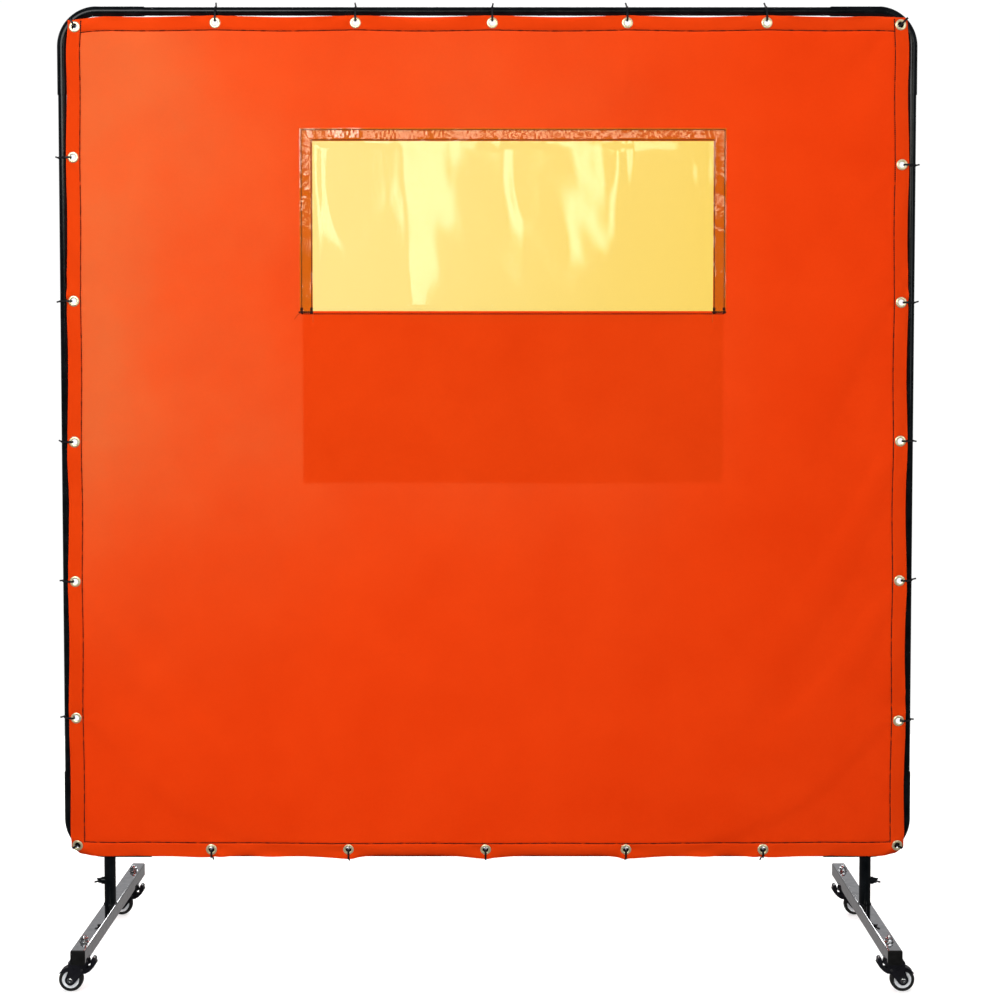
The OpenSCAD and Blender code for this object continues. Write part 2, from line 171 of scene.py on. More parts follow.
def noise(tree, scale, detail=3.0, roughness=0.55, stretch=(1, 1, 1)):
    """Noise texture in metres: scale is the number of features per metre."""
    values = {"Scale": scale, "Detail": detail, "Roughness": roughness}
    return add_node(tree, "TexNoise", {"Vector": coordinates(tree, stretch)}, values).outputs["Fac"]


def bands(tree, period, direction):
    """Sine bands with a period in metres along X, Y or Z."""
    scale = 2 * math.pi / 20 / period
    return add_node(tree, "TexWave", {"Vector": coordinates(tree)}, {"Scale": scale},
                    bands_direction=direction).outputs["Fac"]


def sorted_terms(terms):
    """Sockets and numbers for a node's first inputs, each by its place."""
    numbers = {i: term for i, term in enumerate(terms) if isinstance(term, (int, float))}
    return {i: term for i, term in enumerate(terms) if i not in numbers}, numbers


def calc(tree, operation, *terms):
    """Math node on sockets or numbers."""
    return add_node(tree, "Math", *sorted_terms(terms), operation=operation).outputs[0]


def ramp(tree, factor, stops):
    """Colour ramp; stops are (position, colour)."""
    node = add_node(tree, "ValToRGB", {"Fac": factor})
    elements = node.color_ramp.elements
    while len(elements) < len(stops):
        elements.new(0.5)
    for element, (position, colour) in zip(elements, stops):
        element.position = position
        element.color = (*colour, 1.0)
    return node.outputs["Color"]


def mix_shaders(tree, *terms):
    """Blend by a factor, which is a socket or a number, of two shader sockets."""
    return add_node(tree, "MixShader", *sorted_terms(terms)).outputs[0]


def drive(shader, name, socket):
    """Links a socket to one input of a node."""
    shader.id_data.links.new(socket, shader.inputs[name])


def bump(tree, shader, height, distance, strength=1.0):
    """Bump from a height socket, over the depth distance in metres."""
    node = add_node(tree, "Bump", {"Height": height}, {"Strength": strength, "Distance": distance})
    drive(shader, "Normal", node.outputs["Normal"])


def range_of(tree, socket, low, high, start=0.0, end=1.0):
    """Maps start..end to low..high."""
    values = {"From Min": start, "From Max": end, "To Min": low, "To Max": high}
    return add_node(tree, "MapRange", {"Value": socket}, values).outputs["Result"]


def cloth_material(name, dark, light, glow, pale_glow, through):
    """Matte flame-resistant cloth: weave, mottling, and light from behind whose colour is painted paler up
    on the left, a painted highlight standing in for brighter light there.
    """
    material, tree, shader = new_material(
        name, Roughness=0.75, Sheen_Weight=0.05, Sheen_Roughness=0.5, Sheen_Tint=(1.0, 0.3, 0.1),
        Specular_IOR_Level=0.3, Specular_Tint=(1.0, 0.25, 0.06))
    cloud = noise(tree, 5.0, detail=5.0, roughness=0.6)
    fine = noise(tree, 180.0, detail=2.0)
    mottle = calc(tree, "ADD", calc(tree, "MULTIPLY", cloud, 0.75), calc(tree, "MULTIPLY", fine, 0.25))
    drive(shader, "Base Color", ramp(tree, mottle, [(0.3, dark), (0.7, light)]))
    weave = calc(tree, "MULTIPLY", bands(tree, 1.1 * MM, "X"), bands(tree, 1.3 * MM, "Z"))
    slub = noise(tree, 420.0, detail=2.0, stretch=(1, 1, 0.25))
    bump(tree, shader, calc(tree, "ADD", weave, calc(tree, "MULTIPLY", slub, 0.6)), 0.12 * MM, 0.8)

    # Painted light: the colour of the light through the cloth is set by place, paler towards the upper left
    # and deeper towards the right and the foot.
    place = add_node(tree, "SeparateXYZ", {"Vector": coordinates(tree)})
    across = range_of(tree, place.outputs["X"], 0.0, 1.0, -0.95, 0.95)
    across = ramp(tree, across, [(v, (f, f, f)) for v, f in (
        (0.04, 1.0), (0.28, 0.58), (0.36, 0.48), (0.5, 0.5), (0.68, 0.38), (0.82, 0.14), (1.0, 0.0))])
    upward = calc(tree, "POWER", range_of(tree, place.outputs["Z"], 0.0, 1.0, 0.24, 1.12), 1.6)
    uneven = range_of(tree, noise(tree, 1.9, detail=4.0), 0.75, 1.25, 0.3, 0.7)
    painted_light_gradient = calc(tree, "MULTIPLY", calc(tree, "MULTIPLY", across, upward), uneven)
    tint = ramp(tree, painted_light_gradient, [(0.0, glow), (1.0, pale_glow)])
    behind = add_node(tree, "BsdfTranslucent", {"Color": tint})
    both = mix_shaders(tree, through, shader.outputs["BSDF"], behind.outputs["BSDF"])
    drive(tree.nodes["Material Output"], "Surface", both)
    return material


def pane_material(name, light, dark, through):
    """Clear amber sheet: glossy, faintly hazy, with fine scuffs and streaks; its colour is painted paler on
    the left and deeper amber to the right, painted light across the sheet.
    """
    material, tree, shader = new_material(name, Roughness=0.06, IOR=1.45, Transmission_Weight=through)
    # Painted light: the sheet's colour turns paler towards the left by place; the streaks are random.
    place = add_node(tree, "SeparateXYZ", {"Vector": coordinates(tree)}).outputs["X"]
    streak = calc(tree, "MULTIPLY", noise(tree, 2.2, detail=2.0, stretch=(1, 1, 0.4)), 0.3)
    tint_streaks_and_painted_light = calc(tree, "ADD", range_of(tree, place, 0.0, 0.8, -0.4, 0.5), streak)
    drive(shader, "Base Color", ramp(tree, tint_streaks_and_painted_light, [(0.0, light), (1.0, dark)]))
    scuff = noise(tree, 60.0, detail=6.0, roughness=0.7, stretch=(1, 1, 0.2))
    drive(shader, "Roughness", range_of(tree, scuff, 0.03, 0.11))
    bump(tree, shader, noise(tree, 16.0, detail=2.0, stretch=(1, 1, 0.35)), 0.4 * MM, 0.25)
    lamp = add_node(tree, "LightPath").outputs["Is Shadow Ray"]
    clear = add_node(tree, "BsdfTransparent", values={"Color": (0.76, 0.64, 0.30, 1.0)})
    both = mix_shaders(tree, lamp, shader.outputs["BSDF"], clear.outputs["BSDF"])
    drive(tree.nodes["Material Output"], "Surface", both)
    return material


def powder_material():
    """Black powder coat: orange-peel texture, slightly uneven gloss, dust-grey high spots."""
    material, tree, shader = new_material("black_powder_coat", Specular_IOR_Level=0.16)
    drive(shader, "Roughness", range_of(tree, noise(tree, 9.0, detail=4.0), 0.10, 0.18))
    dust = noise(tree, 35.0, detail=5.0)
    stops = [(0.35, (0.0015, 0.002, 0.0025)), (0.8, (0.005, 0.006, 0.007))]
    drive(shader, "Base Color", ramp(tree, dust, stops))
    bump(tree, shader, noise(tree, 700.0, detail=2.0), 0.04 * MM, 0.4)
    return material


def metal_material(name, colour, rough, scratch=0.06, stretch=(1, 1, 1), metallic=1.0):
    """Polished or plated metal with fine scratches and cloudy patches."""
    material, tree, shader = new_material(name, Base_Color=colour, Metallic=metallic)
    cloud = noise(tree, 25.0, detail=4.0)
    line = noise(tree, 900.0, detail=3.0, stretch=stretch)
    level = calc(tree, "ADD", calc(tree, "MULTIPLY", cloud, 0.6), calc(tree, "MULTIPLY", line, 0.4))
    drive(shader, "Roughness", range_of(tree, level, rough, rough + scratch * 2))
    dim = tuple(0.82 * c for c in colour)
    drive(shader, "Base Color", ramp(tree, noise(tree, 60.0, detail=4.0), [(0.3, dim), (0.6, colour)]))
    bump(tree, shader, line, 0.02 * MM, 0.25)
    return material


def plastic_material(name, colour, rough, grain=500.0, depth=0.05):
    """Moulded plastic or rubber with a fine grain and uneven gloss."""
    material, tree, shader = new_material(name, Base_Color=colour, Specular_IOR_Level=0.25)
    lighter = tuple(c * 1.5 + 0.004 for c in colour)
    drive(shader, "Base Color", ramp(tree, noise(tree, 70.0, detail=4.0), [(0.35, colour), (0.8, lighter)]))
    drive(shader, "Roughness", range_of(tree, noise(tree, 45.0), rough - 0.06, rough + 0.1))
    bump(tree, shader, noise(tree, grain, detail=2.0), depth * MM, 0.5)
    return material


def tape_material():
    """Black hook-and-loop tape: a dense fuzzy pile, its colour painted darker in the pile's hollows, painted
    shade.
    """
    material, tree, shader = new_material("hook_loop_tape", Roughness=0.9, Sheen_Weight=0.4)
    height = calc(tree, "MULTIPLY", noise(tree, 1500.0, detail=3.0), bands(tree, 1.6 * MM, "Z"))
    # Painted shade: the colour follows the pile's height, darker in its hollows and lighter on its tops.
    stops = [(0.1, (0.004, 0.004, 0.004)), (0.7, (0.035, 0.035, 0.038))]
    drive(shader, "Base Color", ramp(tree, height, stops))
    bump(tree, shader, height, 0.5 * MM, 1.0)
    return material


# pale_glow is the painted paler light through each cloth up on the left.
CLOTH = cloth_material("curtain_cloth", (0.72, 0.042, 0.0024), (0.80, 0.054, 0.0040), (0.50, 0.03, 0.002),
                       (0.38, 0.56, 0.34), 0.35)
# The hem's copy of the cloth has darker colours, painted shade for its doubled layers, and lets less light
# through.
HEM_CLOTH = cloth_material("hem_cloth", (0.58, 0.030, 0.0016), (0.68, 0.042, 0.0025), (0.45, 0.03, 0.002),
                           (0.45, 0.12, 0.03), 0.12)
PANE = pane_material("amber_sheet", (0.91, 0.75, 0.29), (0.88, 0.63, 0.13), 0.93)
# The border over the cloth is a darker, redder copy of the same sheet: painted shade on the cloth beneath
# it.
PANE_EDGE = pane_material("amber_sheet_on_cloth", (0.78, 0.40, 0.03), (0.76, 0.38, 0.03), 0.88)
POWDER = powder_material()
CHROME = metal_material("mirror_chrome", (0.62, 0.62, 0.63), 0.02, 0.03, (1, 0.1, 1))
ZINC = metal_material("zinc_plate", (0.6, 0.61, 0.63), 0.16, 0.06)
BRASS = metal_material("grommet_brass", (0.80, 0.71, 0.45), 0.22, 0.08, metallic=0.7)
NYLON = plastic_material("black_nylon", (0.003, 0.003, 0.004), 0.45)
CAP = plastic_material("end_cap_plastic", (0.003, 0.003, 0.003), 0.4, 260.0, 0.08)
GLOSS = plastic_material("glossy_nylon", (0.006, 0.006, 0.008), 0.2, 300.0, 0.03)
GREY = plastic_material("grey_wheel_plastic", (0.52, 0.53, 0.55), 0.32)
TYRE = plastic_material("tyre_rubber", (0.008, 0.008, 0.008), 0.5, 350.0, 0.1)
THREAD = plastic_material("dark_thread", (0.012, 0.001, 0.0005), 0.8, 1200.0, 0.1)
TAPE = tape_material()


# ---------------------------------------------------------------- mesh helpers

def mm(*points):
    """Points given in millimetres, in metres."""
    return [(a * MM, b * MM) for a, b in points]


def to_object(solid, name, material, body, slot, smooth=40.0, replaces=None, closed=True):
    """Makes a piece from (verts, faces) on its body, in the place of the CAD node it replaces; slot is not
    used.
    """
    verts, faces = solid
    mesh = bpy.data.meshes.new(name)
    mesh.from_pydata([tuple(v) for v in verts], [], [tuple(f) for f in faces])
    work = bmesh.new()
    work.from_mesh(mesh)
    bmesh.ops.remove_doubles(work, verts=work.verts, dist=1e-6)
    bmesh.ops.dissolve_degenerate(work, dist=1e-7, edges=work.edges)
    loose = [v for v in work.verts if not v.link_faces]
    bmesh.ops.delete(work, geom=loose, context="VERTS")
    if closed:
        bmesh.ops.recalc_face_normals(work, faces=work.faces)
    work.to_mesh(mesh)
    work.free()
    mesh.shade_smooth()
    mesh.set_sharp_from_angle(angle=math.radians(smooth))
    mesh.materials.append(material)
    obj = bpy.data.objects.new(name, mesh)
    bpy.context.scene.collection.objects.link(obj)
    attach(obj, body)
    if replaces:
        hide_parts(replaces)
    return obj


class Shape:
    """Vertices and faces gathered from several simple solids."""

    def __init__(self):
        self.verts = []
        self.faces = []

    def add(self, solid, place=None):
        """Adds (verts, faces), moved by the matrix place."""
        start = len(self.verts)
        verts, faces = solid
        if place is not None:
            verts = [place @ Vector(v) for v in verts]
        self.verts += [tuple(v) for v in verts]
        self.faces += [[i + start for i in f] for f in faces]

    def build(self, *names, **options):
        """Makes the piece, with what to_object() asks for."""
        return to_object((self.verts, self.faces), *names, **options)


def circle(count):
    """Cosines and sines of evenly spread angles."""
    return [(math.cos(2 * math.pi * k / count), math.sin(2 * math.pi * k / count)) for k in range(count)]


def ring_faces(rows, ring, closed=True):
    """Quads between neighbouring rings of points, and from the last to the first when closed."""
    pairs = [(k * ring, (k + 1) % rows * ring) for k in range(rows if closed else rows - 1)]
    return [(a + i, a + (i + 1) % ring, b + (i + 1) % ring, b + i) for a, b in pairs for i in range(ring)]


def revolve(profile, steps=40):
    """Solid from a closed half section of (radius, height) points, about Z."""
    verts = [(r * c, r * s, h) for c, s in circle(steps) for r, h in profile]
    return verts, ring_faces(steps, len(profile))


def rounded_profile(inner, outer, low, high, edge, steps=4):
    """Half section of a ring or disc with rounded outer edges."""
    arc = [math.pi / 2 * k / steps for k in range(steps + 1)]
    top = [(outer - edge + edge * math.sin(a), high - edge + edge * math.cos(a)) for a in arc]
    bottom = [(outer - edge + edge * math.cos(a), low + edge - edge * math.sin(a)) for a in arc]
    return [(inner, low), (inner, high)] + top + bottom


def sweep(path, section, binormal=Vector((0, 1, 0))):
    """Closed tube along a closed path of points, with a section of (normal, binormal) offsets."""
    verts = []
    for k, point in enumerate(path):
        tangent = (path[(k + 1) % len(path)] - path[k - 1]).normalized()
        normal = binormal.cross(tangent).normalized()
        side = tangent.cross(normal)
        verts += [point + normal * a + side * b for a, b in section]
    return verts, ring_faces(len(path), len(section))


def extrude(outline, height, bevel=0.0, segments=2):
    """Prism over a flat outline in XY, from z = 0, with bevelled edges."""
    work = bmesh.new()
    face = work.faces.new([work.verts.new((x, y, 0.0)) for x, y in outline])
    new = bmesh.ops.extrude_face_region(work, geom=[face])["geom"]
    for v in [g for g in new if isinstance(g, bmesh.types.BMVert)]:
        v.co.z += height
    bmesh.ops.recalc_face_normals(work, faces=work.faces)
    if bevel:
        sharp = [e for e in work.edges if e.calc_face_angle(0.0) > math.radians(25)]
        bmesh.ops.bevel(work, geom=sharp, offset=bevel, segments=segments, affect="EDGES",
                        profile=0.5, clamp_overlap=True)
    work.verts.index_update()
    verts = [v.co.copy() for v in work.verts]
    faces = [[v.index for v in f.verts] for f in work.faces]
    work.free()
    return verts, faces


def arc(x, y, r, start, end, steps=8):
    """Points on an arc, in degrees."""
    angles = [math.radians(start + (end - start) * k / steps) for k in range(steps + 1)]
    return [(x + r * math.cos(a), y + r * math.sin(a)) for a in angles]


def hexagon(across):
    """Outline of a hexagon across its flats."""
    r = across / math.sqrt(3)
    return [(r * c, r * s) for c, s in circle(6)]


def graded(marks, fine, coarse, reach):
    """Coordinates through every mark, close together within reach of one and wider between."""
    marks = sorted(marks)
    out = [marks[0]]
    for a, b in zip(marks, marks[1:]):
        if b - a < 1e-6:
            continue
        stops = [a, b] if b - a <= 2 * reach + coarse else [a, a + reach, b - reach, b]
        for k, (p, q) in enumerate(zip(stops, stops[1:])):
            step = coarse if len(stops) == 4 and k == 1 else fine
            out += list(np.linspace(p, q, max(1, math.ceil((q - p) / step)) + 1)[1:])
    return np.array(out)


def box_outline(w, h):
    """Outline of a centred rectangle."""
    return [(-w / 2, -h / 2), (w / 2, -h / 2), (w / 2, h / 2), (-w / 2, h / 2)]


def slab(us, ws, front, back, keep=None):
    """Closed sheet over the kept cells of a grid; front and back map (u, w) arrays to points."""
    n, m = len(us), len(ws)
    if keep is None:
        keep = np.ones((n - 1, m - 1), bool)
    u, w = (grid.ravel() for grid in np.meshgrid(us, ws, indexing="ij"))
    points = np.vstack([front(u, w), back(u, w)])
    shift = n * m
    padded = np.zeros((n + 1, m + 1), bool)
    padded[1:n, 1:m] = keep
    faces = []
    for i, j in np.argwhere(keep).tolist():
        a, b = i * m + j, (i + 1) * m + j
        corners = (a, b, b + 1, a + 1)
        faces.append(corners)
        faces.append(tuple(c + shift for c in (a, a + 1, b + 1, b)))
        for k, (x, y) in enumerate(((1, 0), (2, 1), (1, 2), (0, 1))):
            if not padded[i + x, j + y]:
                p, q = corners[k], corners[(k + 1) % 4]
                faces.append((q, p, p + shift, q + shift))
    return points, faces


# ---------------------------------------------------------------- the laced sheet

CELLS = 116                         # the simulated grid, which puts a point near every grommet
SIM_FRAMES = 28
SIM_CAP = 2.2 * MM                  # how far a point may move forward out of the curtain's plane
BACK_CAP = 0.4 * MM                 # and backward, where the flap folds up
PIN_R = 17 * MM                     # the simulated cloth is held within this of a grommet
CLOTH_SETTINGS = {
    "vertex_group_mass": "pins", "quality": 6, "mass": 0.12, "tension_stiffness": 60,
    "compression_stiffness": 60, "shear_stiffness": 12, "bending_stiffness": 1.5, "air_damping": 2.0,
    "shrink_min": -0.0002,
}


def pinned(u, w):
    """True where the flat cut is held by a grommet."""
    return any(math.hypot(u - a, w - b) < PIN_R for a, b, _ in GROMMETS)


def simulate_sheet():
    """Hangs the laced sheet by cloth simulation; returns the move of each point of its flat grid."""
    n = CELLS + 1
    us, ws = np.linspace(-HALF, HALF, n), np.linspace(LOW, HIGH, n)
    flat = np.array([(u, CLOTH_Y, w) for u in us for w in ws])
    start = flat.copy()
    start[:, 1] += 0.3 * MM * np.sin(17 * flat[:, 0] + 2) * np.sin(13 * flat[:, 2] + 1)
    cells = [(i * n + j, (i + 1) * n + j, (i + 1) * n + j + 1, i * n + j + 1)
             for i in range(CELLS) for j in range(CELLS)]
    mesh = bpy.data.meshes.new("sheet_sim")
    mesh.from_pydata(start.tolist(), [], cells)
    sheet = bpy.data.objects.new("sheet_sim", mesh)
    scene = bpy.context.scene
    scene.collection.objects.link(sheet)
    group = sheet.vertex_groups.new(name="pins")
    group.add([k for k, p in enumerate(flat) if pinned(p[0], p[2])], 1.0, "REPLACE")
    cloth = sheet.modifiers.new("Cloth", "CLOTH")
    for key, value in CLOTH_SETTINGS.items():
        setattr(cloth.settings, key, value)
    cloth.collision_settings.use_collision = False
    for k in range(1, SIM_FRAMES + 1):
        scene.frame_set(k)
    done = sheet.evaluated_get(bpy.context.evaluated_depsgraph_get())
    points = np.zeros(len(flat) * 3)
    done.data.vertices.foreach_get("co", points)
    bpy.data.objects.remove(sheet)
    bpy.data.meshes.remove(mesh)
    scene.frame_set(1)
    move = points.reshape(-1, 3) - flat
    cap = np.where(move[:, 1] > 0, BACK_CAP, SIM_CAP)
    move[:, 1] = cap * np.tanh(move[:, 1] / cap)
    return move.reshape(n, n, 3)


SHEET_MOVE = simulate_sheet()


def spline_weights(t):
    """Catmull-Rom weights of the four grid points around a place t between the middle two."""
    return np.stack([
        (-t + 2 * t**2 - t**3) / 2,
        (2 - 5 * t**2 + 3 * t**3) / 2,
        (t + 4 * t**2 - 3 * t**3) / 2,
        (-t**2 + t**3) / 2,
    ])


def sheet_move(u, w):
    """Move of the simulated sheet at places (u, w) on its flat cut."""
    a = np.clip((u + HALF) / (2 * HALF), 0, 1) * CELLS
    b = np.clip((w - LOW) / (HIGH - LOW), 0, 1) * CELLS
    i = np.clip(np.floor(a).astype(int), 1, CELLS - 2)
    j = np.clip(np.floor(b).astype(int), 1, CELLS - 2)
    wa, wb = spline_weights(a - i), spline_weights(b - j)
    total = np.zeros((len(u), 3))
    for p in range(4):
        for q in range(4):
            total += (wa[p] * wb[q])[:, None] * SHEET_MOVE[i - 1 + p, j - 1 + q]
    return total


def scallop(side, along, gap):
    """How far the cloth is pulled in between two grommets of a side, at a distance gap from that edge."""
    wave = 1 - np.cos(2 * np.pi * np.interp(along, ROWS[side], range(ROW_COUNT)))
    return SCALLOPS[side] * MM * wave / 2 * np.exp(-gap / LACE_REACH)


SCALLOPS = {"left": 2.4, "right": 3.2, "bottom": 2.2, "top": 2.4}  # depth between two grommets, in mm
LACE_REACH = 55 * MM                # how far in from an edge the lacing still pulls the cloth
TIGHT_FROM = (0.6, 1.3)             # the sides draw in more and more from this height, over this length
TIGHT_PULL = (6.5 * MM, 4.5 * MM)   # by this much at the top, left and right
TIGHT_REACH = 0.15                  # metres in from the sides

# How far each corner is pulled in by its tie, in mm across and up or down
CORNER_PULLS = {(-1, 1): (6.0, 10.0), (1, 1): (6.0, 5.0), (-1, -1): (1.0, 3.0), (1, -1): (1.0, 3.0)}


def lacing_pull(u, w):
    """In-plane move (x, z) of the cloth: its edges pull in between the grommets."""
    left, right, down, up = edge_gaps(u, w)
    x = scallop("left", w, left) - scallop("right", w, right)
    z = scallop("bottom", u, down) - scallop("top", u, up)
    tight = np.clip((w - TIGHT_FROM[0]) / TIGHT_FROM[1], 0, 1)
    x += tight * (TIGHT_PULL[0] * np.exp(-left / TIGHT_REACH) - TIGHT_PULL[1] * np.exp(-right / TIGHT_REACH))
    for (side_x, side_z), (pull_x, pull_z) in CORNER_PULLS.items():
        across, along = left if side_x < 0 else right, down if side_z < 0 else up
        near = np.exp(-(across**2 + along**2) / LACE_REACH**2)
        x -= side_x * pull_x * MM * near
        z -= side_z * pull_z * MM * near
    return x, z


def ripple(s, seed):
    """Uneven wave between -1 and 1 along a length s in metres."""
    return (np.sin(s * 260 + seed) + 0.6 * np.sin(s * 431 + 2 * seed) + 0.4 * np.sin(s * 97 + 3 * seed)) / 2


def ease(t):
    """Eases from 0 at t = 0 to 1 at t = 1, and stays there."""
    t = np.clip(t, 0, 1)
    return t * t * (3 - 2 * t)


def edge_gaps(u, w):
    """Distances from the curtain's left, right, lower and upper edges."""
    return np.stack([u + HALF, HALF - u, w - LOW, HIGH - w])


def edge_distance(u, w):
    """Distance from the curtain's nearest edge, and the length along that edge."""
    gaps = edge_gaps(u, w)
    return gaps.min(0), np.where(gaps.argmin(0) < 2, w, u)


def cloth_relief(u, w):
    """Depth of the cloth's small shapes, towards the front: hem, stitch groove and puckers."""
    edge, along = edge_distance(u, w)
    relief = 0.7 * MM * np.clip(np.sin(np.pi * np.clip(edge / HEM, 0, 1)), 0, 1) ** 0.7
    relief -= 1.5 * MM * np.exp(-((edge - HEM) / (1.9 * MM)) ** 2)
    relief += 0.55 * MM * ripple(along, 1.0) * np.exp(-((edge - HEM) / (11 * MM)) ** 2)
    for a, b, _ in GROMMETS:
        dx, dz = u - a, w - b
        near = np.hypot(dx, dz)
        spokes = np.cos(5 * np.arctan2(dz, dx) + a * 7 + b * 3)
        clear = np.clip((near - GROMMET_R) / (8 * MM), 0, 1)
        relief += 0.9 * MM * spokes * clear * np.exp(-near / (28 * MM))
        relief = np.where(near < GROMMET_R, relief * 0.3, relief)
    return relief


ROLL_R = 21 * MM                    # how tightly the cloth's corners bend back around the frame


def wrap(x, y, z):
    """Bends back what reaches beyond the frame tubes' centre line."""
    mid_z = (TOP_Z + BOTTOM_Z) / 2
    qx = np.abs(x) - (SIDE_X - BEND_R)
    qz = np.abs(z - mid_z) - ((TOP_Z - BOTTOM_Z) / 2 - BEND_R)
    corner = (qx > 0) & (qz > 0)
    rho = np.where(corner, np.hypot(qx, qz), np.maximum(qx, qz))
    safe = np.where(rho == 0, 1, rho)
    nx = np.where(corner, qx / safe, (qx >= qz).astype(float))
    nz = np.where(corner, qz / safe, (qz > qx).astype(float))
    beyond = rho - BEND_R
    angle = np.where(beyond > 0, beyond / ROLL_R, 0)
    axis_y = CLOTH_Y + ROLL_R
    out = np.where(beyond > 0, (axis_y - y) * np.sin(angle), beyond)
    new_y = np.where(beyond > 0, axis_y - (axis_y - y) * np.cos(angle), y)
    shift = out - beyond
    return x + np.sign(x) * nx * shift, new_y, z + np.sign(z - mid_z) * nz * shift


def cloth_point(u, w, depth=0.0):
    """Place of the laced cloth at (u, w), and depth in front of its middle."""
    u, w = np.asarray(u, float), np.asarray(w, float)
    move = sheet_move(u, w)
    pull_x, pull_z = lacing_pull(u, w)
    y = CLOTH_Y + move[:, 1] - cloth_relief(u, w) - depth
    return np.stack(wrap(u + move[:, 0] + pull_x, y, w + move[:, 2] + pull_z), axis=1)


def cloth_frame(u, w, depth=0.0):
    """Matrix at one place on the cloth: X across, Y up, Z out of its front."""
    e = 2 * MM
    p = cloth_point(np.array([u, u + e, u - e, u, u]), np.array([w, w, w, w + e, w - e]), depth)
    across = Vector(p[1] - p[2]).normalized()
    up = Vector(p[3] - p[4]).normalized()
    normal = across.cross(up).normalized()
    up = normal.cross(across)
    matrix = Matrix((across, up, normal)).transposed().to_4x4()
    matrix.translation = Vector(p[0])
    return matrix


def layer(depth):
    """A surface of the cloth, as a function for slab()."""
    return lambda u, w: cloth_point(u, w, depth)


def clear_of_grommets(us, ws):
    """Grid cells with no corner inside a grommet's barrel."""
    u, w = np.meshgrid(us, ws, indexing="ij")
    inside = np.zeros(u.shape, bool)
    for a, b, _ in GROMMETS:
        inside |= np.hypot(u - a, w - b) < GROMMET_HOLE_R + 1.2 * MM
    return ~(inside[:-1, :-1] | inside[1:, :-1] | inside[:-1, 1:] | inside[1:, 1:])


def cell_centres(us, ws):
    """Centres of a grid's cells."""
    return np.meshgrid((us[:-1] + us[1:]) / 2, (ws[:-1] + ws[1:]) / 2, indexing="ij")


def cloth_spot(u, w):
    """One point of the laced cloth."""
    return Vector(cloth_point([u], [w])[0])


def curtain_grid():
    """Grid lines of the curtain: fine at its edges, hem, window and grommets."""
    lines = []
    for axis, low, high, opening in ((0, -HALF, HALF, OPEN_X), (1, LOW, HIGH, OPEN_Z)):
        rows = sorted({round(place[axis], 6) for place in GROMMETS})
        marks = [low, low + HEM, high - HEM, high, *opening, *rows[1:-1]]
        lines.append(graded(marks, 2.8 * MM, 11 * MM, 13 * MM))
    return lines


def make_curtain():
    """The cloth, with its window opening and grommet holes."""
    us, ws = curtain_grid()
    u, w = cell_centres(us, ws)
    window = (u > OPEN_X[0]) & (u < OPEN_X[1]) & (w > OPEN_Z[0]) & (w < OPEN_Z[1])
    sheet = slab(us, ws, layer(CLOTH_T / 2), layer(-CLOTH_T / 2), clear_of_grommets(us, ws) & ~window)
    return to_object(sheet, "curtain_sheet", CLOTH, "screen", "curtain_orange", 60, "curtain", closed=False)


def make_hem():
    """The folded border behind the cloth's edges, with a rounded outer fold."""
    us, ws = curtain_grid()
    border = edge_distance(*cell_centres(us, ws))[0] < HEM
    shape = Shape()
    shape.add(slab(us, ws, layer(-0.55 * MM), layer(-1.35 * MM), border & clear_of_grommets(us, ws)))
    path = [Vector(p) for p in cloth_point(*np.array(perimeter(0.0, 4 * MM)).T, -0.45 * MM)]
    shape.add(sweep(path, arc(0, 0, 0.95 * MM, 0, 360 * 7 / 8, 7)))
    return shape.build("hem_fold", HEM_CLOTH, "screen", "hem_orange", 60, "hem")


def perimeter(inset, step):
    """Closed loop of (u, w) at a distance inside the curtain's edge."""
    a, b, c, d = -HALF + inset, HALF - inset, LOW + inset, HIGH - inset
    us, ws = np.arange(a, b, step), np.arange(c, d, step)
    return ([(u, c) for u in us] + [(b, w) for w in ws]
            + [(u, d) for u in -us + a + b] + [(a, w) for w in -ws + c + d])


# ---------------------------------------------------------------- sewing

def capsule(length, r, sides=5):
    """Thread between two holes: a short rod with pointed ends, along X."""
    verts = [(-length / 2, 0, 0)]
    for x in (-length * 0.42, length * 0.42):
        verts += [(x, r * c, r * s) for c, s in circle(sides)]
    verts.append((length / 2, 0, 0))
    faces = []
    for k in range(sides):
        n = (k + 1) % sides
        faces.append((0, 1 + n, 1 + k))
        faces.append((1 + k, 1 + n, 1 + sides + n, 1 + sides + k))
        faces.append((1 + sides + k, 1 + sides + n, 1 + 2 * sides))
    return verts, faces


def stitch_line(shape, surface, start, end, pitch=4.2 * MM, r=0.95 * MM):
    """Adds a row of stitches on a surface, between two places (u, w) on it."""
    start, end = np.array(start), np.array(end)
    count = max(2, int(np.linalg.norm(end - start) / pitch))
    ends = start + (end - start) * np.linspace(0, 1, count + 1)[:, None]
    points = [Vector(p) for p in surface(ends[:, 0], ends[:, 1])]
    thread = capsule(1.0, 1.0)
    for p, q in zip(points, points[1:]):
        along = (q - p).normalized()
        side = along.cross(Vector((0, -1, 0))).normalized()
        up = side.cross(along)
        place = Matrix((along * (q - p).length * 0.94, side * r, up * 0.5 * MM)).transposed().to_4x4()
        place.translation = (p + q) / 2
        shape.add(thread, place)


def rectangle_stitches(shape, surface, a, b, c, d, sides):
    """Rows of stitches along sides of a rectangle u a..b, w c..d: b for bottom, t top, l left, r right."""
    rows = {"b": ((a, c), (b, c)), "t": ((a, d), (b, d)), "l": ((a, c), (a, d)), "r": ((b, c), (b, d))}
    for side in sides:
        stitch_line(shape, surface, *rows[side])


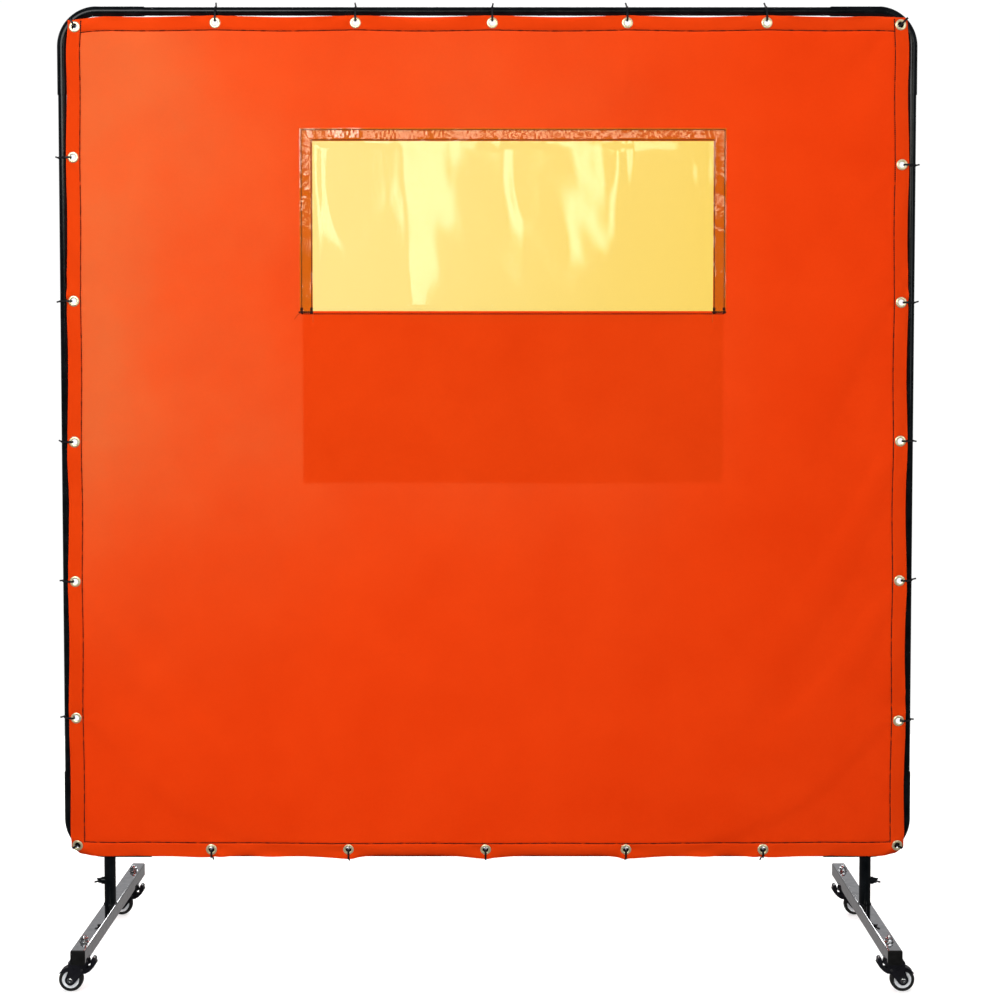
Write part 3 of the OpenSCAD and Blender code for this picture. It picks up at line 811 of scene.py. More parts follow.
def make_hem_stitches():
    """Twin rows of dark stitches along the hem's inner edge; the upright ones run out at the top."""
    shape = Shape()
    end = HIGH - 3 * MM
    for gap in (-0.75 * MM, 0.75 * MM):
        a, c, d = HALF - HEM + gap, LOW + HEM - gap, HIGH - HEM + gap
        for surface in (layer(CLOTH_T / 2), layer(-1.5 * MM)):
            for row in (((-a, c), (a, c)), ((-a, d), (a, d)), ((-a, c), (-a, end)), ((a, c), (a, end))):
                stitch_line(shape, surface, *row, r=0.8 * MM)
    return shape.build("hem_stitches", THREAD, "screen", "tie_black", 60)


# ---------------------------------------------------------------- grommets and lacing

def grommet_solid():
    """Rolled rim, barrel and washer of a grommet, with its front along +Z."""
    r, hole = GROMMET_R / MM, GROMMET_HOLE_R / MM
    front = [(hole, 1.0), (hole + 0.5, 1.7), (hole + 1.6, 2.05), (r - 2.2, 1.9),
             (r - 0.9, 1.45), (r - 0.2, 0.9), (r, 0.45), (r - 0.3, 0.35)]
    under = [(hole + 1.1, 0.35), (hole + 1.1, -1.45)]
    back = [(r - 0.6, -1.45), (r - 0.3, -1.75), (r - 1.0, -2.2),
            (hole + 1.5, -2.5), (hole + 0.4, -2.3), (hole, -1.7)]
    return revolve(mm(*front, *under, *back), 48)


def make_grommets():
    """All grommets, each square to the cloth where it sits."""
    shape = Shape()
    for u, w, _ in GROMMETS:
        shape.add(grommet_solid(), cloth_frame(u, w))
    return shape.build("brass_grommets", BRASS, "screen", "grommet_brass", 50, "grommets")


def hull(points):
    """Convex hull of (x, y) points, anticlockwise."""
    points = sorted(set(points))

    def half(seq):
        out = []
        for p in seq:
            while len(out) > 1 and ((out[-1][0] - out[-2][0]) * (p[1] - out[-2][1])
                                    - (out[-1][1] - out[-2][1]) * (p[0] - out[-2][0])) <= 0:
                out.pop()
            out.append(p)
        return out[:-1]

    return half(points) + half(points[::-1])


def even_loop(points, count):
    """Resamples a closed outline to count points, then eases its corners."""
    closed = np.array(list(points) + [points[0]])
    length = np.concatenate([[0], np.cumsum(np.linalg.norm(np.diff(closed, axis=0), axis=1))])
    at = np.linspace(0, length[-1], count, endpoint=False)
    loop = np.stack([np.interp(at, length, closed[:, k]) for k in range(2)], axis=1)
    for _ in range(2):
        loop = (np.roll(loop, 1, 0) + 2 * loop + np.roll(loop, -1, 0)) / 4
    return loop


def straight_loop(hole, edge):
    """Tie around a straight tube and through a grommet at (out, y) = hole, over the cloth's edge."""
    r = TUBE_R + 1.1 * MM
    front = hole[1] - 3.0 * MM
    inner = min(hole[0] + 3.6 * MM, -r)
    points = arc(0, 0, r, 0, 360, 32)
    points += [(inner, front), (inner, hole[1] + 3.4 * MM), (edge + 1.3 * MM, front)]
    return even_loop(hull([(round(a, 7), round(b, 7)) for a, b in points]), 64)


def corner_loop(hole, tip):
    """Tie around a bend: out through the grommet at hole, over the cloth's tip and round the tube."""
    r = (SLEEVE_R + 0.9 * MM) * 1.1
    start = math.degrees(math.atan2(hole[1], hole[0]))
    points = [(hole[0], hole[1] - 3.2 * MM), (hole[0] + 7 * MM, hole[1] - 3.2 * MM),
              ((hole[0] + tip[0]) / 2 + 4 * MM, min(hole[1], tip[1]) - 2.5 * MM),
              (tip[0] + 2 * MM, tip[1] - 1 * MM), (tip[0] + 1.5 * MM, tip[1] + 3 * MM)]
    points += arc(0, 0, r, 40, 270 + min(0, start + 90), 20)
    points += [(hole[0] - 2.5 * MM, max(-r, hole[1] + 2.6 * MM)), (hole[0] - 0.8 * MM, hole[1] + 1.0 * MM)]
    return even_loop(points, 72)


TIE_SEED = 11

# Angle above or below level at which each corner's tie leaves its grommet
CORNER_RISE = {(-1, 1): 64, (1, 1): 45, (-1, -1): 26, (1, -1): 26}


def corner_route(spot, u, w, outward):
    """A corner tie's way out, the middle of the tube it holds, and its loop round both."""
    bend_z = TOP_Z - BEND_R if outward[1] > 0 else BOTTOM_Z + BEND_R
    bend = Vector((outward[0] * (SIDE_X - BEND_R), 0, bend_z))
    corner = cloth_spot(u + outward[0] * INSET, w + outward[1] * INSET)
    rise = math.radians(CORNER_RISE[outward])
    out = Vector((outward[0] * math.cos(rise), 0, outward[1] * math.sin(rise)))
    arm = Vector((spot.x - bend.x, 0, spot.z - bend.z))
    reach = math.sqrt(arm.dot(out) ** 2 - arm.length_squared + BEND_R ** 2) - arm.dot(out)
    tube = Vector((spot.x, 0, spot.z)) + out * reach
    return out, tube, corner_loop(((spot - tube).dot(out), spot.y), ((corner - tube).dot(out), corner.y))


def straight_route(spot, u, w, outward):
    """The same for a tie between the corners."""
    out = Vector((outward[0], 0, outward[1]))
    tube = Vector((outward[0] * SIDE_X if outward[0] else spot.x, 0,
                   spot.z if outward[0] else TOP_Z if outward[1] > 0 else BOTTOM_Z))
    edge = cloth_spot(u + outward[0] * INSET, w + outward[1] * INSET)
    return out, tube, straight_loop(((spot - tube).dot(out), spot.y), (edge - tube).dot(out))


def tie_geometry(shape, u, w, outward, rng):
    """Adds one cable tie: its band, ratchet head and cut tail."""
    corner_tie = all(outward)
    route = corner_route if corner_tie else straight_route
    out, tube, loop = route(cloth_spot(u, w), u, w, outward)
    back = Vector((0, 1, 0))
    side = out.cross(back)
    path = [tube + out * a + back * b for a, b in loop]
    half_band = [(-0.6, -1.9), (-0.3, -2.1), (0.3, -2.1), (0.6, -1.9)]
    shape.add(sweep(path, mm(*half_band, *[(-a, -b) for a, b in half_band]), side))
    far = int(np.argmax(loop[:, 1] if corner_tie else loop[:, 0] + 0.35 * loop[:, 1]))
    lean = Matrix.Rotation(rng.uniform(-0.35, 0.35), 3, back)
    tilt = Matrix.Rotation(rng.uniform(-0.5, 0.3), 3, side)
    stick = (lean @ tilt @ (back if corner_tie else out)).normalized()
    across = stick.cross(side).normalized()
    head = Matrix((across, across.cross(stick), stick)).transposed().to_4x4()
    head.translation = path[far] - stick * 1.0 * MM
    shape.add(extrude(box_outline(4.6 * MM, 4.2 * MM), 3.4 * MM, 0.5 * MM), head)
    tail = head.copy()
    tail.translation = path[far] + stick * 1.5 * MM
    shape.add(extrude(box_outline(1.2 * MM, 3.4 * MM), rng.uniform(6.5, 9.5) * MM, 0.25 * MM, 1), tail)


def make_ties():
    """Cable ties, one piece for each side of the frame; corners go with the top and bottom."""
    rng = random.Random(TIE_SEED)
    groups = {"top": [], "bottom": [], "left": [], "right": []}
    for place in GROMMETS:
        x, z = place[2]
        groups["top" if z > 0 else "bottom" if z < 0 else "left" if x < 0 else "right"].append(place)
    for side, places in groups.items():
        shape = Shape()
        for u, w, outward in places:
            tie_geometry(shape, u, w, outward, rng)
        shape.build("lacing_" + side, NYLON, "screen", "tie_black", 40, "ties_" + side)


# ---------------------------------------------------------------- window

CREASE_SEED = 5
TAPE_WIDTH = 16 * MM
FLAP_HEM = 16 * MM

# Slopes of the clear sheet across the window: place from the frame's middle, slope at its top and foot
SHEET_SLOPES = (
    (-0.378, -0.050, 0.000), (-0.320, -0.040, 0.000), (-0.290, 0.000, 0.005), (-0.240, 0.030, 0.030),
    (-0.182, 0.045, 0.045), (-0.178, 0.000, 0.000), (-0.100, 0.000, -0.035), (-0.050, -0.005, -0.030),
    (0.000, -0.015, -0.010), (0.042, -0.024, -0.012), (0.066, -0.024, -0.008), (0.075, 0.000, 0.000),
    (0.100, 0.012, 0.004), (0.150, 0.018, 0.015), (0.165, 0.012, 0.012), (0.169, 0.012, 0.000),
    (0.176, 0.012, -0.012), (0.200, 0.006, -0.015), (0.240, 0.012, -0.015), (0.270, 0.016, -0.015),
    (0.282, 0.000, -0.008), (0.300, -0.010, -0.005), (0.400, -0.005, 0.000), (0.489, 0.000, 0.000),
)


def sheet_folds(u, w):
    """Depth of the clear sheet's upright folds, from its slopes at the top and the foot."""
    places, top, foot = np.array(SHEET_SLOPES).T
    fine = np.linspace(places[0], places[-1], 900)
    depths = []
    for slopes in (foot, top):
        slope = np.interp(fine, places, slopes)
        depth = np.concatenate([[0], np.cumsum((slope[1:] + slope[:-1]) / 2 * np.diff(fine))])
        depth -= np.interp(fine, places[[0, -1]], depth[[0, -1]])
        depths.append(np.interp(u + 0.06 * (w - 1.68), fine, depth))
    t = ease((w - OPEN_Z[0]) / (0.75 * (OPEN_Z[1] - OPEN_Z[0])))
    return depths[0] * (1 - t) + depths[1] * t


def tape_creases(s):
    """Depth of the border's flat facets along it: each leans a little to one side, between sharp creases."""
    rng = random.Random(CREASE_SEED)
    places, depths = [-0.9], [0.6 * MM]
    while places[-1] < 1.4:
        places.append(places[-1] + rng.choice((6, 10, 16, 24)) * MM)
        lean = rng.choice((-0.05, -0.035, -0.016, 0.0, 0.013, 0.03, 0.05)) * (places[-1] - places[-2])
        depths.append(depths[-1] + (lean if 0.1 * MM < depths[-1] + lean < 1.7 * MM else -0.8 * lean))
    return np.interp(s, places, depths)


def pane_relief(u, w):
    """Depth of the clear sheet's folds and crinkles in front of the cloth's middle."""
    side = np.minimum(u - OPEN_X[0], OPEN_X[1] - u)
    inside = np.minimum(side, OPEN_Z[1] - w)
    border = np.clip(-inside / (5 * MM), 0, 1) * np.clip((PANE_BORDER + inside) / (4 * MM), 0.25, 1)
    beside = side < OPEN_Z[1] - w
    along = np.where(beside, w - 1.0, u)
    out = np.where(beside, u, w)
    lift = border * (tape_creases(along + 0.25 * out) + 0.07 * MM * ripple(along * 2.4 + 0.8 * out, 4.0))
    return lift + ease(inside / (22 * MM)) * (sheet_folds(u, w) + 0.12 * MM * np.sin(w * 34 + u * 60))


def pane_depth(u, w):
    """Depth of the sheet's middle: in front of the cloth, and behind it under the sill."""
    between = (u > OPEN_X[0]) & (u < OPEN_X[1])
    front = np.where(between, ease((w - OPEN_Z[0]) / (16 * MM)), 1)
    return 0.85 * MM * (2 * front - 1) + pane_relief(u, w) * front


PANE_BACK = -14.3 * MM              # the sheet stays in front of this, clear of the folded flap


def pane_surface(offset):
    """One face of the clear sheet, as a function for slab()."""
    def surface(u, w):
        smooth = cloth_point(u, w, 0.0)
        smooth[:, 1] += cloth_relief(u, w) * 0.7
        smooth[:, 1] -= pane_depth(u, w) + offset
        inside = (u > OPEN_X[0]) & (u < OPEN_X[1]) & (w < OPEN_Z[1])
        smooth[:, 1] = np.where(inside, np.minimum(smooth[:, 1], PANE_BACK - offset), smooth[:, 1])
        return smooth
    return surface


def make_pane():
    """The clear sheet, its border in front of the cloth and its foot tucked behind the sill."""
    us = graded([pane_low.x, *OPEN_X, pane_high.x], 2.2 * MM, 4.5 * MM, 20 * MM)
    ws = graded([pane_low.z, *OPEN_Z, pane_high.z], 2.2 * MM, 4.5 * MM, 20 * MM)
    u, w = cell_centres(us, ws)
    keep = (w > OPEN_Z[0]) | ((u > OPEN_X[0]) & (u < OPEN_X[1]))
    sheet = slab(us, ws, pane_surface(0.25 * MM), pane_surface(-0.25 * MM), keep)
    pane = to_object(sheet, "amber_pane", PANE, "screen", "window_amber", 60, "window_pane", closed=False)
    pane.data.materials.append(PANE_EDGE)
    for face in pane.data.polygons:
        x, _, z = face.center
        over_cloth = x < OPEN_X[0] or x > OPEN_X[1] or z > OPEN_Z[1]
        face.material_index = 1 if over_cloth else 0
        face.use_smooth = not over_cloth
    return pane


def make_window_stitches():
    """Two rows of stitches on the sheet's border, one below the sill, and bartacks with loose ends."""
    shape = Shape()
    top = pane_surface(0.35 * MM)
    sill = OPEN_Z[0]
    inset, gap = 4 * MM, 2.5 * MM
    left, right = pane_low.x + inset, pane_high.x - inset
    inner_left, inner_right = OPEN_X[0] - gap, OPEN_X[1] + gap
    for a, b, d in ((left, right, pane_high.z - inset), (inner_left, inner_right, OPEN_Z[1] + gap)):
        rectangle_stitches(shape, top, a, b, sill + 2 * MM, d, "ltr")
    stitch_line(shape, layer(CLOTH_T / 2 + 0.1 * MM), (left, sill - 2 * MM), (right, sill - 2 * MM))
    for u in (left, inner_left, inner_right, right):
        for k in range(-2, 3):
            place = u + k * MM
            stitch_line(shape, top, (place, sill + 12 * MM), (place, sill - 2 * MM), 5 * MM, 0.9 * MM)
    for a, b in ((left, OPEN_X[0]), (OPEN_X[1], right)):
        for level in (sill + 1 * MM, sill + 2.8 * MM):
            stitch_line(shape, top, (a - 7 * MM, level), (b + 5 * MM, level), 4 * MM, 1.0 * MM)
    tail = [(left - k * 4 * MM, sill - (k / 4) ** 2 * 14 * MM) for k in range(5)]
    for p, q in zip(tail, tail[1:]):
        stitch_line(shape, layer(CLOTH_T / 2 + 0.4 * MM), p, q, 6 * MM, 0.35 * MM)
    return shape.build("window_stitches", THREAD, "screen", "tie_black", 60)


def make_sill():
    """The rounded fold of cloth along the opening's lower edge."""
    us = np.arange(OPEN_X[0] - 2 * MM, OPEN_X[1] + 2 * MM, 5 * MM)
    r, ring = 1.1 * MM, 8
    points = cloth_point(us, np.full(len(us), OPEN_Z[0]), 0.1 * MM)
    verts = [(x, y + r * c, z + r * s) for x, y, z in points for c, s in circle(ring)]
    faces = ring_faces(len(us), ring, closed=False)
    faces += [range(ring), range(len(verts) - ring, len(verts))]
    return to_object((verts, faces), "window_sill", HEM_CLOTH, "screen", "hem_orange", 60)


def make_tape(name, node, body, front, back, gap=0.0):
    """Hook or loop tape: an upright strip at each side of a CAD node's box, between two surfaces."""
    low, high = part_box(node)
    shape = Shape()
    for a in (low.x, high.x - TAPE_WIDTH):
        us = np.linspace(a + gap, a + TAPE_WIDTH, 6)
        shape.add(slab(us, np.linspace(low.z, high.z, 80), front, back))
    return shape.build(name, TAPE, body, "hook_and_loop", 60, node)


# ---------------------------------------------------------------- flap

def flap_surface(offset):
    """The hanging flap: straight at its seam, with very shallow folds lower down."""
    def surface(u, w):
        drop = np.clip((flap_high.z - w) / (flap_high.z - flap_low.z), 0, 1)
        wave = 0.25 * MM * np.sin(u * 13 + 1.2 + 2.5 * drop) + 0.1 * MM * np.sin(u * 29 + 4 * drop)
        ends = np.stack([np.minimum(u - flap_low.x, flap_high.x - u), w - flap_low.z]).min(0)
        hem = 0.4 * MM * np.exp(-((ends - FLAP_HEM) / (2 * MM)) ** 2)
        y = FLAP_Y + drop * (wave - hem) + offset
        return np.stack([u, y, w - 1.0 * MM * drop * np.sin(u * 9)], axis=1)
    return surface


def make_flap():
    """The flap's cloth, its hem stitches and its hook tape."""
    left, right, foot = flap_low.x + FLAP_HEM, flap_high.x - FLAP_HEM, flap_low.z + FLAP_HEM
    us = graded([flap_low.x, left, right, flap_high.x], 3 * MM, 9 * MM, 8 * MM)
    ws = graded([flap_low.z, foot, flap_high.z], 3 * MM, 9 * MM, 8 * MM)
    faces = [flap_surface(offset) for offset in (-CLOTH_T / 2, CLOTH_T / 2)]
    flap = to_object(slab(us, ws, *faces), "window_flap_cloth", CLOTH, "window_flap", "curtain_orange", 60,
                     "flap_panel", closed=False)
    seams = Shape()
    for face in faces:
        rectangle_stitches(seams, face, left, right, foot, flap_high.z - 1 * MM, "lbr")
    seams = seams.build("flap_stitches", THREAD, "window_flap", "tie_black", 60)
    tape = make_tape("hook_tape", "flap_hook_strips", "window_flap", flap_surface(0.45 * MM),
                     flap_surface(1.3 * MM), 0.5 * MM)
    return flap, seams, tape


def make_flap_seam():
    """The rounded seam that joins the flap's upper edge to the curtain's back."""
    r = 1.9 * MM
    outline = [(FLAP_Y - 0.9 * MM + 1.5 * r * c, r * s) for c, s in circle(14)]
    place = Matrix(((0, 0, 1, flap_low.x), (1, 0, 0, 0), (0, 1, 0, flap_high.z), (0, 0, 0, 1)))
    shape = Shape()
    shape.add(extrude(outline, flap_high.x - flap_low.x, 0.3 * MM, 1), place)
    return shape.build("flap_seam", HEM_CLOTH, "screen", "hem_orange", 50)


# ---------------------------------------------------------------- feet and hardware

def at_side(side):
    """Local frame at a post: +X outwards."""
    sign = SIDES[side]
    return Matrix.Translation((sign * POST_X, 0, 0)) @ Matrix.Diagonal((sign, 1, 1, 1))


def at_caster(end, side):
    """Local frame of a caster: its stem on the Z axis, its wheel trailing along +X."""
    return Matrix.Translation((0, ENDS[end] * CASTER_Y, 0)) @ at_side(side)


def along_x(x, z):
    """Turns a solid made along Z to lie along X, from the place (x, 0, z)."""
    return Matrix.Translation((x, 0, z)) @ Matrix.Rotation(math.pi / 2, 4, "Y")


def along_y(x, y, z):
    """Turns a solid made along Z to lie along Y."""
    return Matrix.Translation((x, y, z)) @ Matrix.Rotation(-math.pi / 2, 4, "X")


def across_y(half):
    """Turns a prism made along Z to lie along Y, from half to -half of it."""
    return Matrix.Translation((0, half, 0)) @ Matrix.Rotation(math.pi / 2, 4, "X")


def thread_profile(r, low, high, pitch=1.25 * MM):
    """Half section of a threaded rod with a chamfered end."""
    points = [(0.0, low)]
    for k in range(int((high - low - 1 * MM) / pitch)):
        z = low + k * pitch
        points += [(r * 0.92, z), (r, z + pitch / 2)]
    return points + [(r * 0.92, high - 1 * MM), (r * 0.8, high), (0.0, high)]


def weld_bead(side):
    """Rippled fillet weld around the foot of the post."""
    count, ring = 72, 8
    verts = []
    for k, (x, y) in enumerate(circle(count)):
        swell = 1.6 * (1 + 0.12 * math.sin(16 * 2 * math.pi * k / count))
        for c, s in circle(ring):
            r = POST_R + (0.6 + swell * c) * MM
            verts.append((r * x, r * y, BAR_TOP + (0.5 + swell * s) * MM))
    shape = Shape()
    shape.add((verts, ring_faces(count, ring)), at_side(side))
    shape.build(side + "_post_weld", POWDER, side + "_foot", "frame_black", 60)


def wing_bolt(side):
    """Cast wing bolt: threaded shank, hub and two swept wings."""
    shape = Shape()
    near, far = (0, 1) if side == "right" else (1, 0)
    name = side + "_wing_bolt"
    tip = abs(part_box(name)[near].x) - POST_X
    boss = abs(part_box(side + "_weld_nut")[far].x) - POST_X
    place = at_side(side)
    shape.add(revolve(thread_profile(4 * MM, 0, boss + 3 * MM - tip), 24), place @ along_x(tip, WING_Z))
    hub = mm((0, 0.6), (6.0, 0.6), (6.5, 1.2), (5.6, 6.5), (4.6, 8.6), (2.5, 9.4), (0, 9.5))
    shape.add(revolve(hub, 28), place @ along_x(boss, WING_Z))
    wing = mm((3, 2), (4.5, 7), (8.5, 12.5), (12.2, 15.4), (14.4, 13.6), (13.6, 9.5), (10, 5.5), (8, 1))
    for sign in (-1, 1):
        outline = [(boss + x, sign * y) for x, y in wing]
        shape.add(extrude(outline, 3 * MM, 0.9 * MM), place @ Matrix.Translation((0, 0, WING_Z - 1.5 * MM)))
    shape.build(name + "_cast", POWDER, name, "frame_black", 45, name)


def end_caps(side):
    """Moulded end caps with rounded faces."""
    shape = Shape()
    cap_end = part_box(side + "_end_caps")[1].y
    bar_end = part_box(side + "_foot_bar")[1].y
    r = 3 * MM
    corner = (BAR_TOP - BAR_LOW) / 2 - r
    outline = []
    for x, y, start in ((1, 1, 0), (-1, 1, 90), (-1, -1, 180), (1, -1, 270)):
        outline += arc(x * corner, y * corner, r, start, start + 90, 5)
    for end in ENDS.values():
        place = Matrix.Translation((SIDES[side] * POST_X, end * bar_end, (BAR_TOP + BAR_LOW) / 2))
        turn = Matrix.Rotation(-end * math.pi / 2, 4, "X")
        shape.add(extrude(outline, cap_end - bar_end, 1.2 * MM, 3), place @ turn)
    shape.build(side + "_moulded_caps", CAP, side + "_foot", "cap_black", 40, side + "_end_caps")


def stem_hardware(side):
    """Threaded stems, bearing plates, retaining heads and flanged hex nuts."""
    stems, nuts = Shape(), Shape()
    low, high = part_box(side + "_stems")
    nut_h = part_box(side + "_stem_nuts")[1].z - BAR_TOP
    head = low.z + 3 * MM
    for end in ENDS:
        place = at_caster(end, side)
        stems.add(revolve(thread_profile(5 * MM, BAR_LOW, high.z), 28), place)
        stems.add(revolve([(0, head), (5 * MM, head), (5 * MM, BAR_LOW), (0, BAR_LOW)], 28), place)
        stems.add(revolve(rounded_profile(0, 8 * MM, low.z, head, 1 * MM), 32), place)
        stems.add(revolve(rounded_profile(0, 13 * MM, BAR_LOW - 2.2 * MM, BAR_LOW, 0.8 * MM), 40), place)
        turn = Matrix.Translation((0, 0, BAR_TOP + 1 * MM)) @ Matrix.Rotation(math.radians(12), 4, "Z")
        nuts.add(extrude(hexagon(16 * MM), nut_h - 1 * MM, 0.8 * MM, 3), place @ turn)
        flange = rounded_profile(5.2 * MM, 10.5 * MM, BAR_TOP, BAR_TOP + 1.2 * MM, 0.4 * MM)
        nuts.add(revolve(flange, 36), place)
    stems.build(side + "_threaded_stems", ZINC, side + "_foot", "zinc", 40, side + "_stems")
    nuts.build(side + "_hex_nuts", ZINC, side + "_foot", "zinc", 35, side + "_stem_nuts")


GAP, WALL = 10 * MM, 2.4 * MM       # the fork's plates: from the wheel's middle, and how thick
REACH = GAP + WALL
CROWN_Z = 56 * MM


def fork_outline():
    """Side of the fork in the wheel's plane: axle boss, leg and hood."""
    points = arc(TRAIL, AXLE_Z, 11 * MM, -140, 35, 14) + mm((31, 44), (31.5, 52))
    points += arc(25.5 * MM, 60 * MM, 6 * MM, 0, 90, 5)
    points += arc(-6 * MM, 61 * MM, 5 * MM, 90, 180, 5)
    points += mm((-10.5, 56), (-6, 52.5), (-3.5, 49))
    return points + arc(2 * MM, 47 * MM, 5.5 * MM, 170, 215, 4)


def caster_fork():
    """Two plates with axle bosses, joined by a hood, and the swivel head on its crown."""
    shape = Shape()
    for y in (-GAP - WALL, GAP):
        shape.add(extrude(fork_outline(), WALL, 0.7 * MM, 3), across_y(y + WALL))
        boss = -REACH - 0.8 * MM if y < 0 else REACH
        ring = revolve(rounded_profile(3.2 * MM, 8.5 * MM, 0, 0.8 * MM, 0.4 * MM), 32)
        shape.add(ring, along_y(TRAIL, boss, AXLE_Z))
    crown = arc(0, 0, 12.4 * MM, 90, 270, 14) + arc(18 * MM, 0, 12.4 * MM, -90, 90, 14)
    shape.add(extrude(crown, 9 * MM, 1.6 * MM, 3), Matrix.Translation((0, 0, CROWN_Z)))
    top = BAR_LOW / MM - 2.5
    low = CROWN_Z / MM + 4
    head = mm((5.1, low), (5.1, top), (10.4, top), (11.6, top - 0.6), (12, top - 1.8), (12, low + 4),
              (13, low + 2), (13, low))
    shape.add(revolve(head, 40))
    angles = np.radians(np.linspace(32, 112, 12))
    hood = [(TRAIL + 26.4 * MM * math.cos(a), AXLE_Z + 26.4 * MM * math.sin(a)) for a in angles]
    hood += [(min(TRAIL + 30.5 * MM * math.cos(a), 31 * MM), AXLE_Z + 34 * MM * math.sin(a))
             for a in angles[::-1]]
    shape.add(extrude(hood, 2 * GAP + WALL, 0.5 * MM), across_y(GAP + WALL / 2))
    return shape


def caster_axle():
    """Axle bolt: its shank, dished head and hex nut."""
    shape = Shape()
    shank = [(0, -REACH), (3 * MM, -REACH), (3 * MM, REACH), (0, REACH)]
    shape.add(revolve(shank, 24), along_y(TRAIL, 0, AXLE_Z))
    head = mm((0, 0.8), (6, 0.8), (6.2, 1.4), (5.6, 3.2), (4.2, 4.2), (2.4, 4.5), (2.0, 3.0), (0, 3.0))
    shape.add(revolve(head, 36), along_y(TRAIL, -REACH, AXLE_Z) @ Matrix.Rotation(math.pi, 4, "X"))
    shape.add(extrude(hexagon(10.5 * MM), 4 * MM, 0.6 * MM), along_y(TRAIL, REACH + 0.8 * MM, AXLE_Z))
    return shape


def caster_pin():
    """The brake lever's rivet, with a domed head at each end."""
    shape = Shape()
    end = -REACH / MM
    head = mm((0, end - 1.2), (2.6, end - 1), (3, end - 0.2), (2, end + 0.1))
    shape.add(revolve(head + [(r, -h) for r, h in head[::-1]], 24), along_y(3 * MM, 0, 46 * MM))
    return shape


def caster_wheel():
    """Rim and hub of the wheel."""
    shape = Shape()
    rim = mm((11.5, -5.5), (16.4, -7.4), (17.6, -8.2), (17.7, -7.6))
    hub = mm((3.1, -9.4), (6, -9.4), (6.6, -8.8), (7, -4), (12, -3.4))
    for half, steps in ((rim, 56), (hub, 40)):
        whole = half + [(r, -h) for r, h in half[::-1]]
        shape.add(revolve(whole, steps), along_y(TRAIL, 0, AXLE_Z))
    return shape


def caster_tyre():
    """Rounded tyre with two grooves round its tread."""
    shape = Shape()
    tread = []
    for k in range(25):
        a = math.pi * (k / 24 - 0.5)
        groove = 0.5 * MM if k in (9, 15) else 0
        rise = AXLE_Z - 4.2 * MM * (1 - abs(math.cos(a)) ** 0.55) - groove
        tread.append((rise, 9 * MM * math.copysign(abs(math.sin(a)) ** 0.7, math.sin(a))))
    shape.add(revolve(tread + mm((17.75, 8.4), (17.75, -8.4)), 72), along_y(TRAIL, 0, AXLE_Z))
    return shape


def caster_lever():
    """Brake lever: arm, hook-shaped tongue and the ribs of its footrest."""
    shape = Shape()
    outline = mm((5.6, 40.2), (6.8, 46), (5.4, 49.0), (3, 49.8), (-9.6, 49.8), (-13.8, 50.6), (-14.4, 63.6))
    outline += arc(-19.6 * MM, 66.2 * MM, 5.2 * MM, 70, 200, 8)
    outline += mm((-26.2, 59), (-20.5, 50), (-12, 41.6), (-4, 37.2), (1, 36.6))
    shape.add(extrude(outline, 17.6 * MM, 0.9 * MM, 3), across_y(8.8 * MM))
    for k in range(4):
        rib = Matrix.Translation((-14.4 * MM, 0, (54 + k * 2.4) * MM))
        shape.add(extrude(box_outline(1.6 * MM, 15 * MM), 0.9 * MM, 0.3 * MM, 1), rib)
    return shape


# Each piece of a caster: its maker, name, finish, body, slot, smooth angle and CAD node
CASTER_PIECES = (
    (caster_fork, "moulded_fork", GLOSS, "caster", "fork_black", 38, "fork"),
    (caster_axle, "axle_bolt", ZINC, "caster", "zinc", 40, "axle"),
    (caster_pin, "rivet", ZINC, "caster", "zinc", 40, "brake_pin"),
    (caster_wheel, "wheel_centre", GREY, "roller", "wheel_grey", 35, "wheel"),
    (caster_tyre, "rubber_tyre", TYRE, "roller", "tyre_black", 40, "tyre"),
    (caster_lever, "brake_tongue", GLOSS, "brake", "fork_black", 40, "brake_lever"),
)


def caster(end, side):
    """All pieces of one caster."""
    prefix = end + "_" + side + "_"
    for maker, name, finish, body, slot, smooth, node in CASTER_PIECES:
        shape = Shape()
        made = maker()
        shape.add((made.verts, made.faces), at_caster(end, side))
        shape.build(prefix + name, finish, prefix + body, slot, smooth, prefix + node)


def finish_cad_nodes():
    """Gives the CAD nodes that stay visible their real finish."""
    powdered = ["top_rail", "bottom_rail"]
    for side in SIDES:
        powdered += [side + "_upright", "corner_top_" + side, "corner_bottom_" + side, side + "_post",
                     side + "_weld_nut"]
    finishes = dict.fromkeys(powdered, POWDER)
    finishes.update({side + "_foot_bar": CHROME for side in SIDES})
    for node, material in finishes.items():
        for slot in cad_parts[node].material_slots:
            slot.link = "OBJECT"
            slot.material = material


# ---------------------------------------------------------------- stage, light and camera

def add_area(name, place, target, size, power, colour=(1, 1, 1)):
    """Area light aimed at a target; size is (width, height)."""
    data = bpy.data.lights.new(name, "AREA")
    data.shape = "RECTANGLE"
    data.size, data.size_y = size
    data.energy = power
    data.color = colour
    light = bpy.data.objects.new(name, data)
    light.location = place
    light.rotation_euler = (Vector(target) - Vector(place)).to_track_quat("-Z", "Y").to_euler()
    light.visible_camera = False
    light.visible_transmission = False
    bpy.context.scene.collection.objects.link(light)
    return light


FLOOR_R = 2.6                       # metres, about the screen


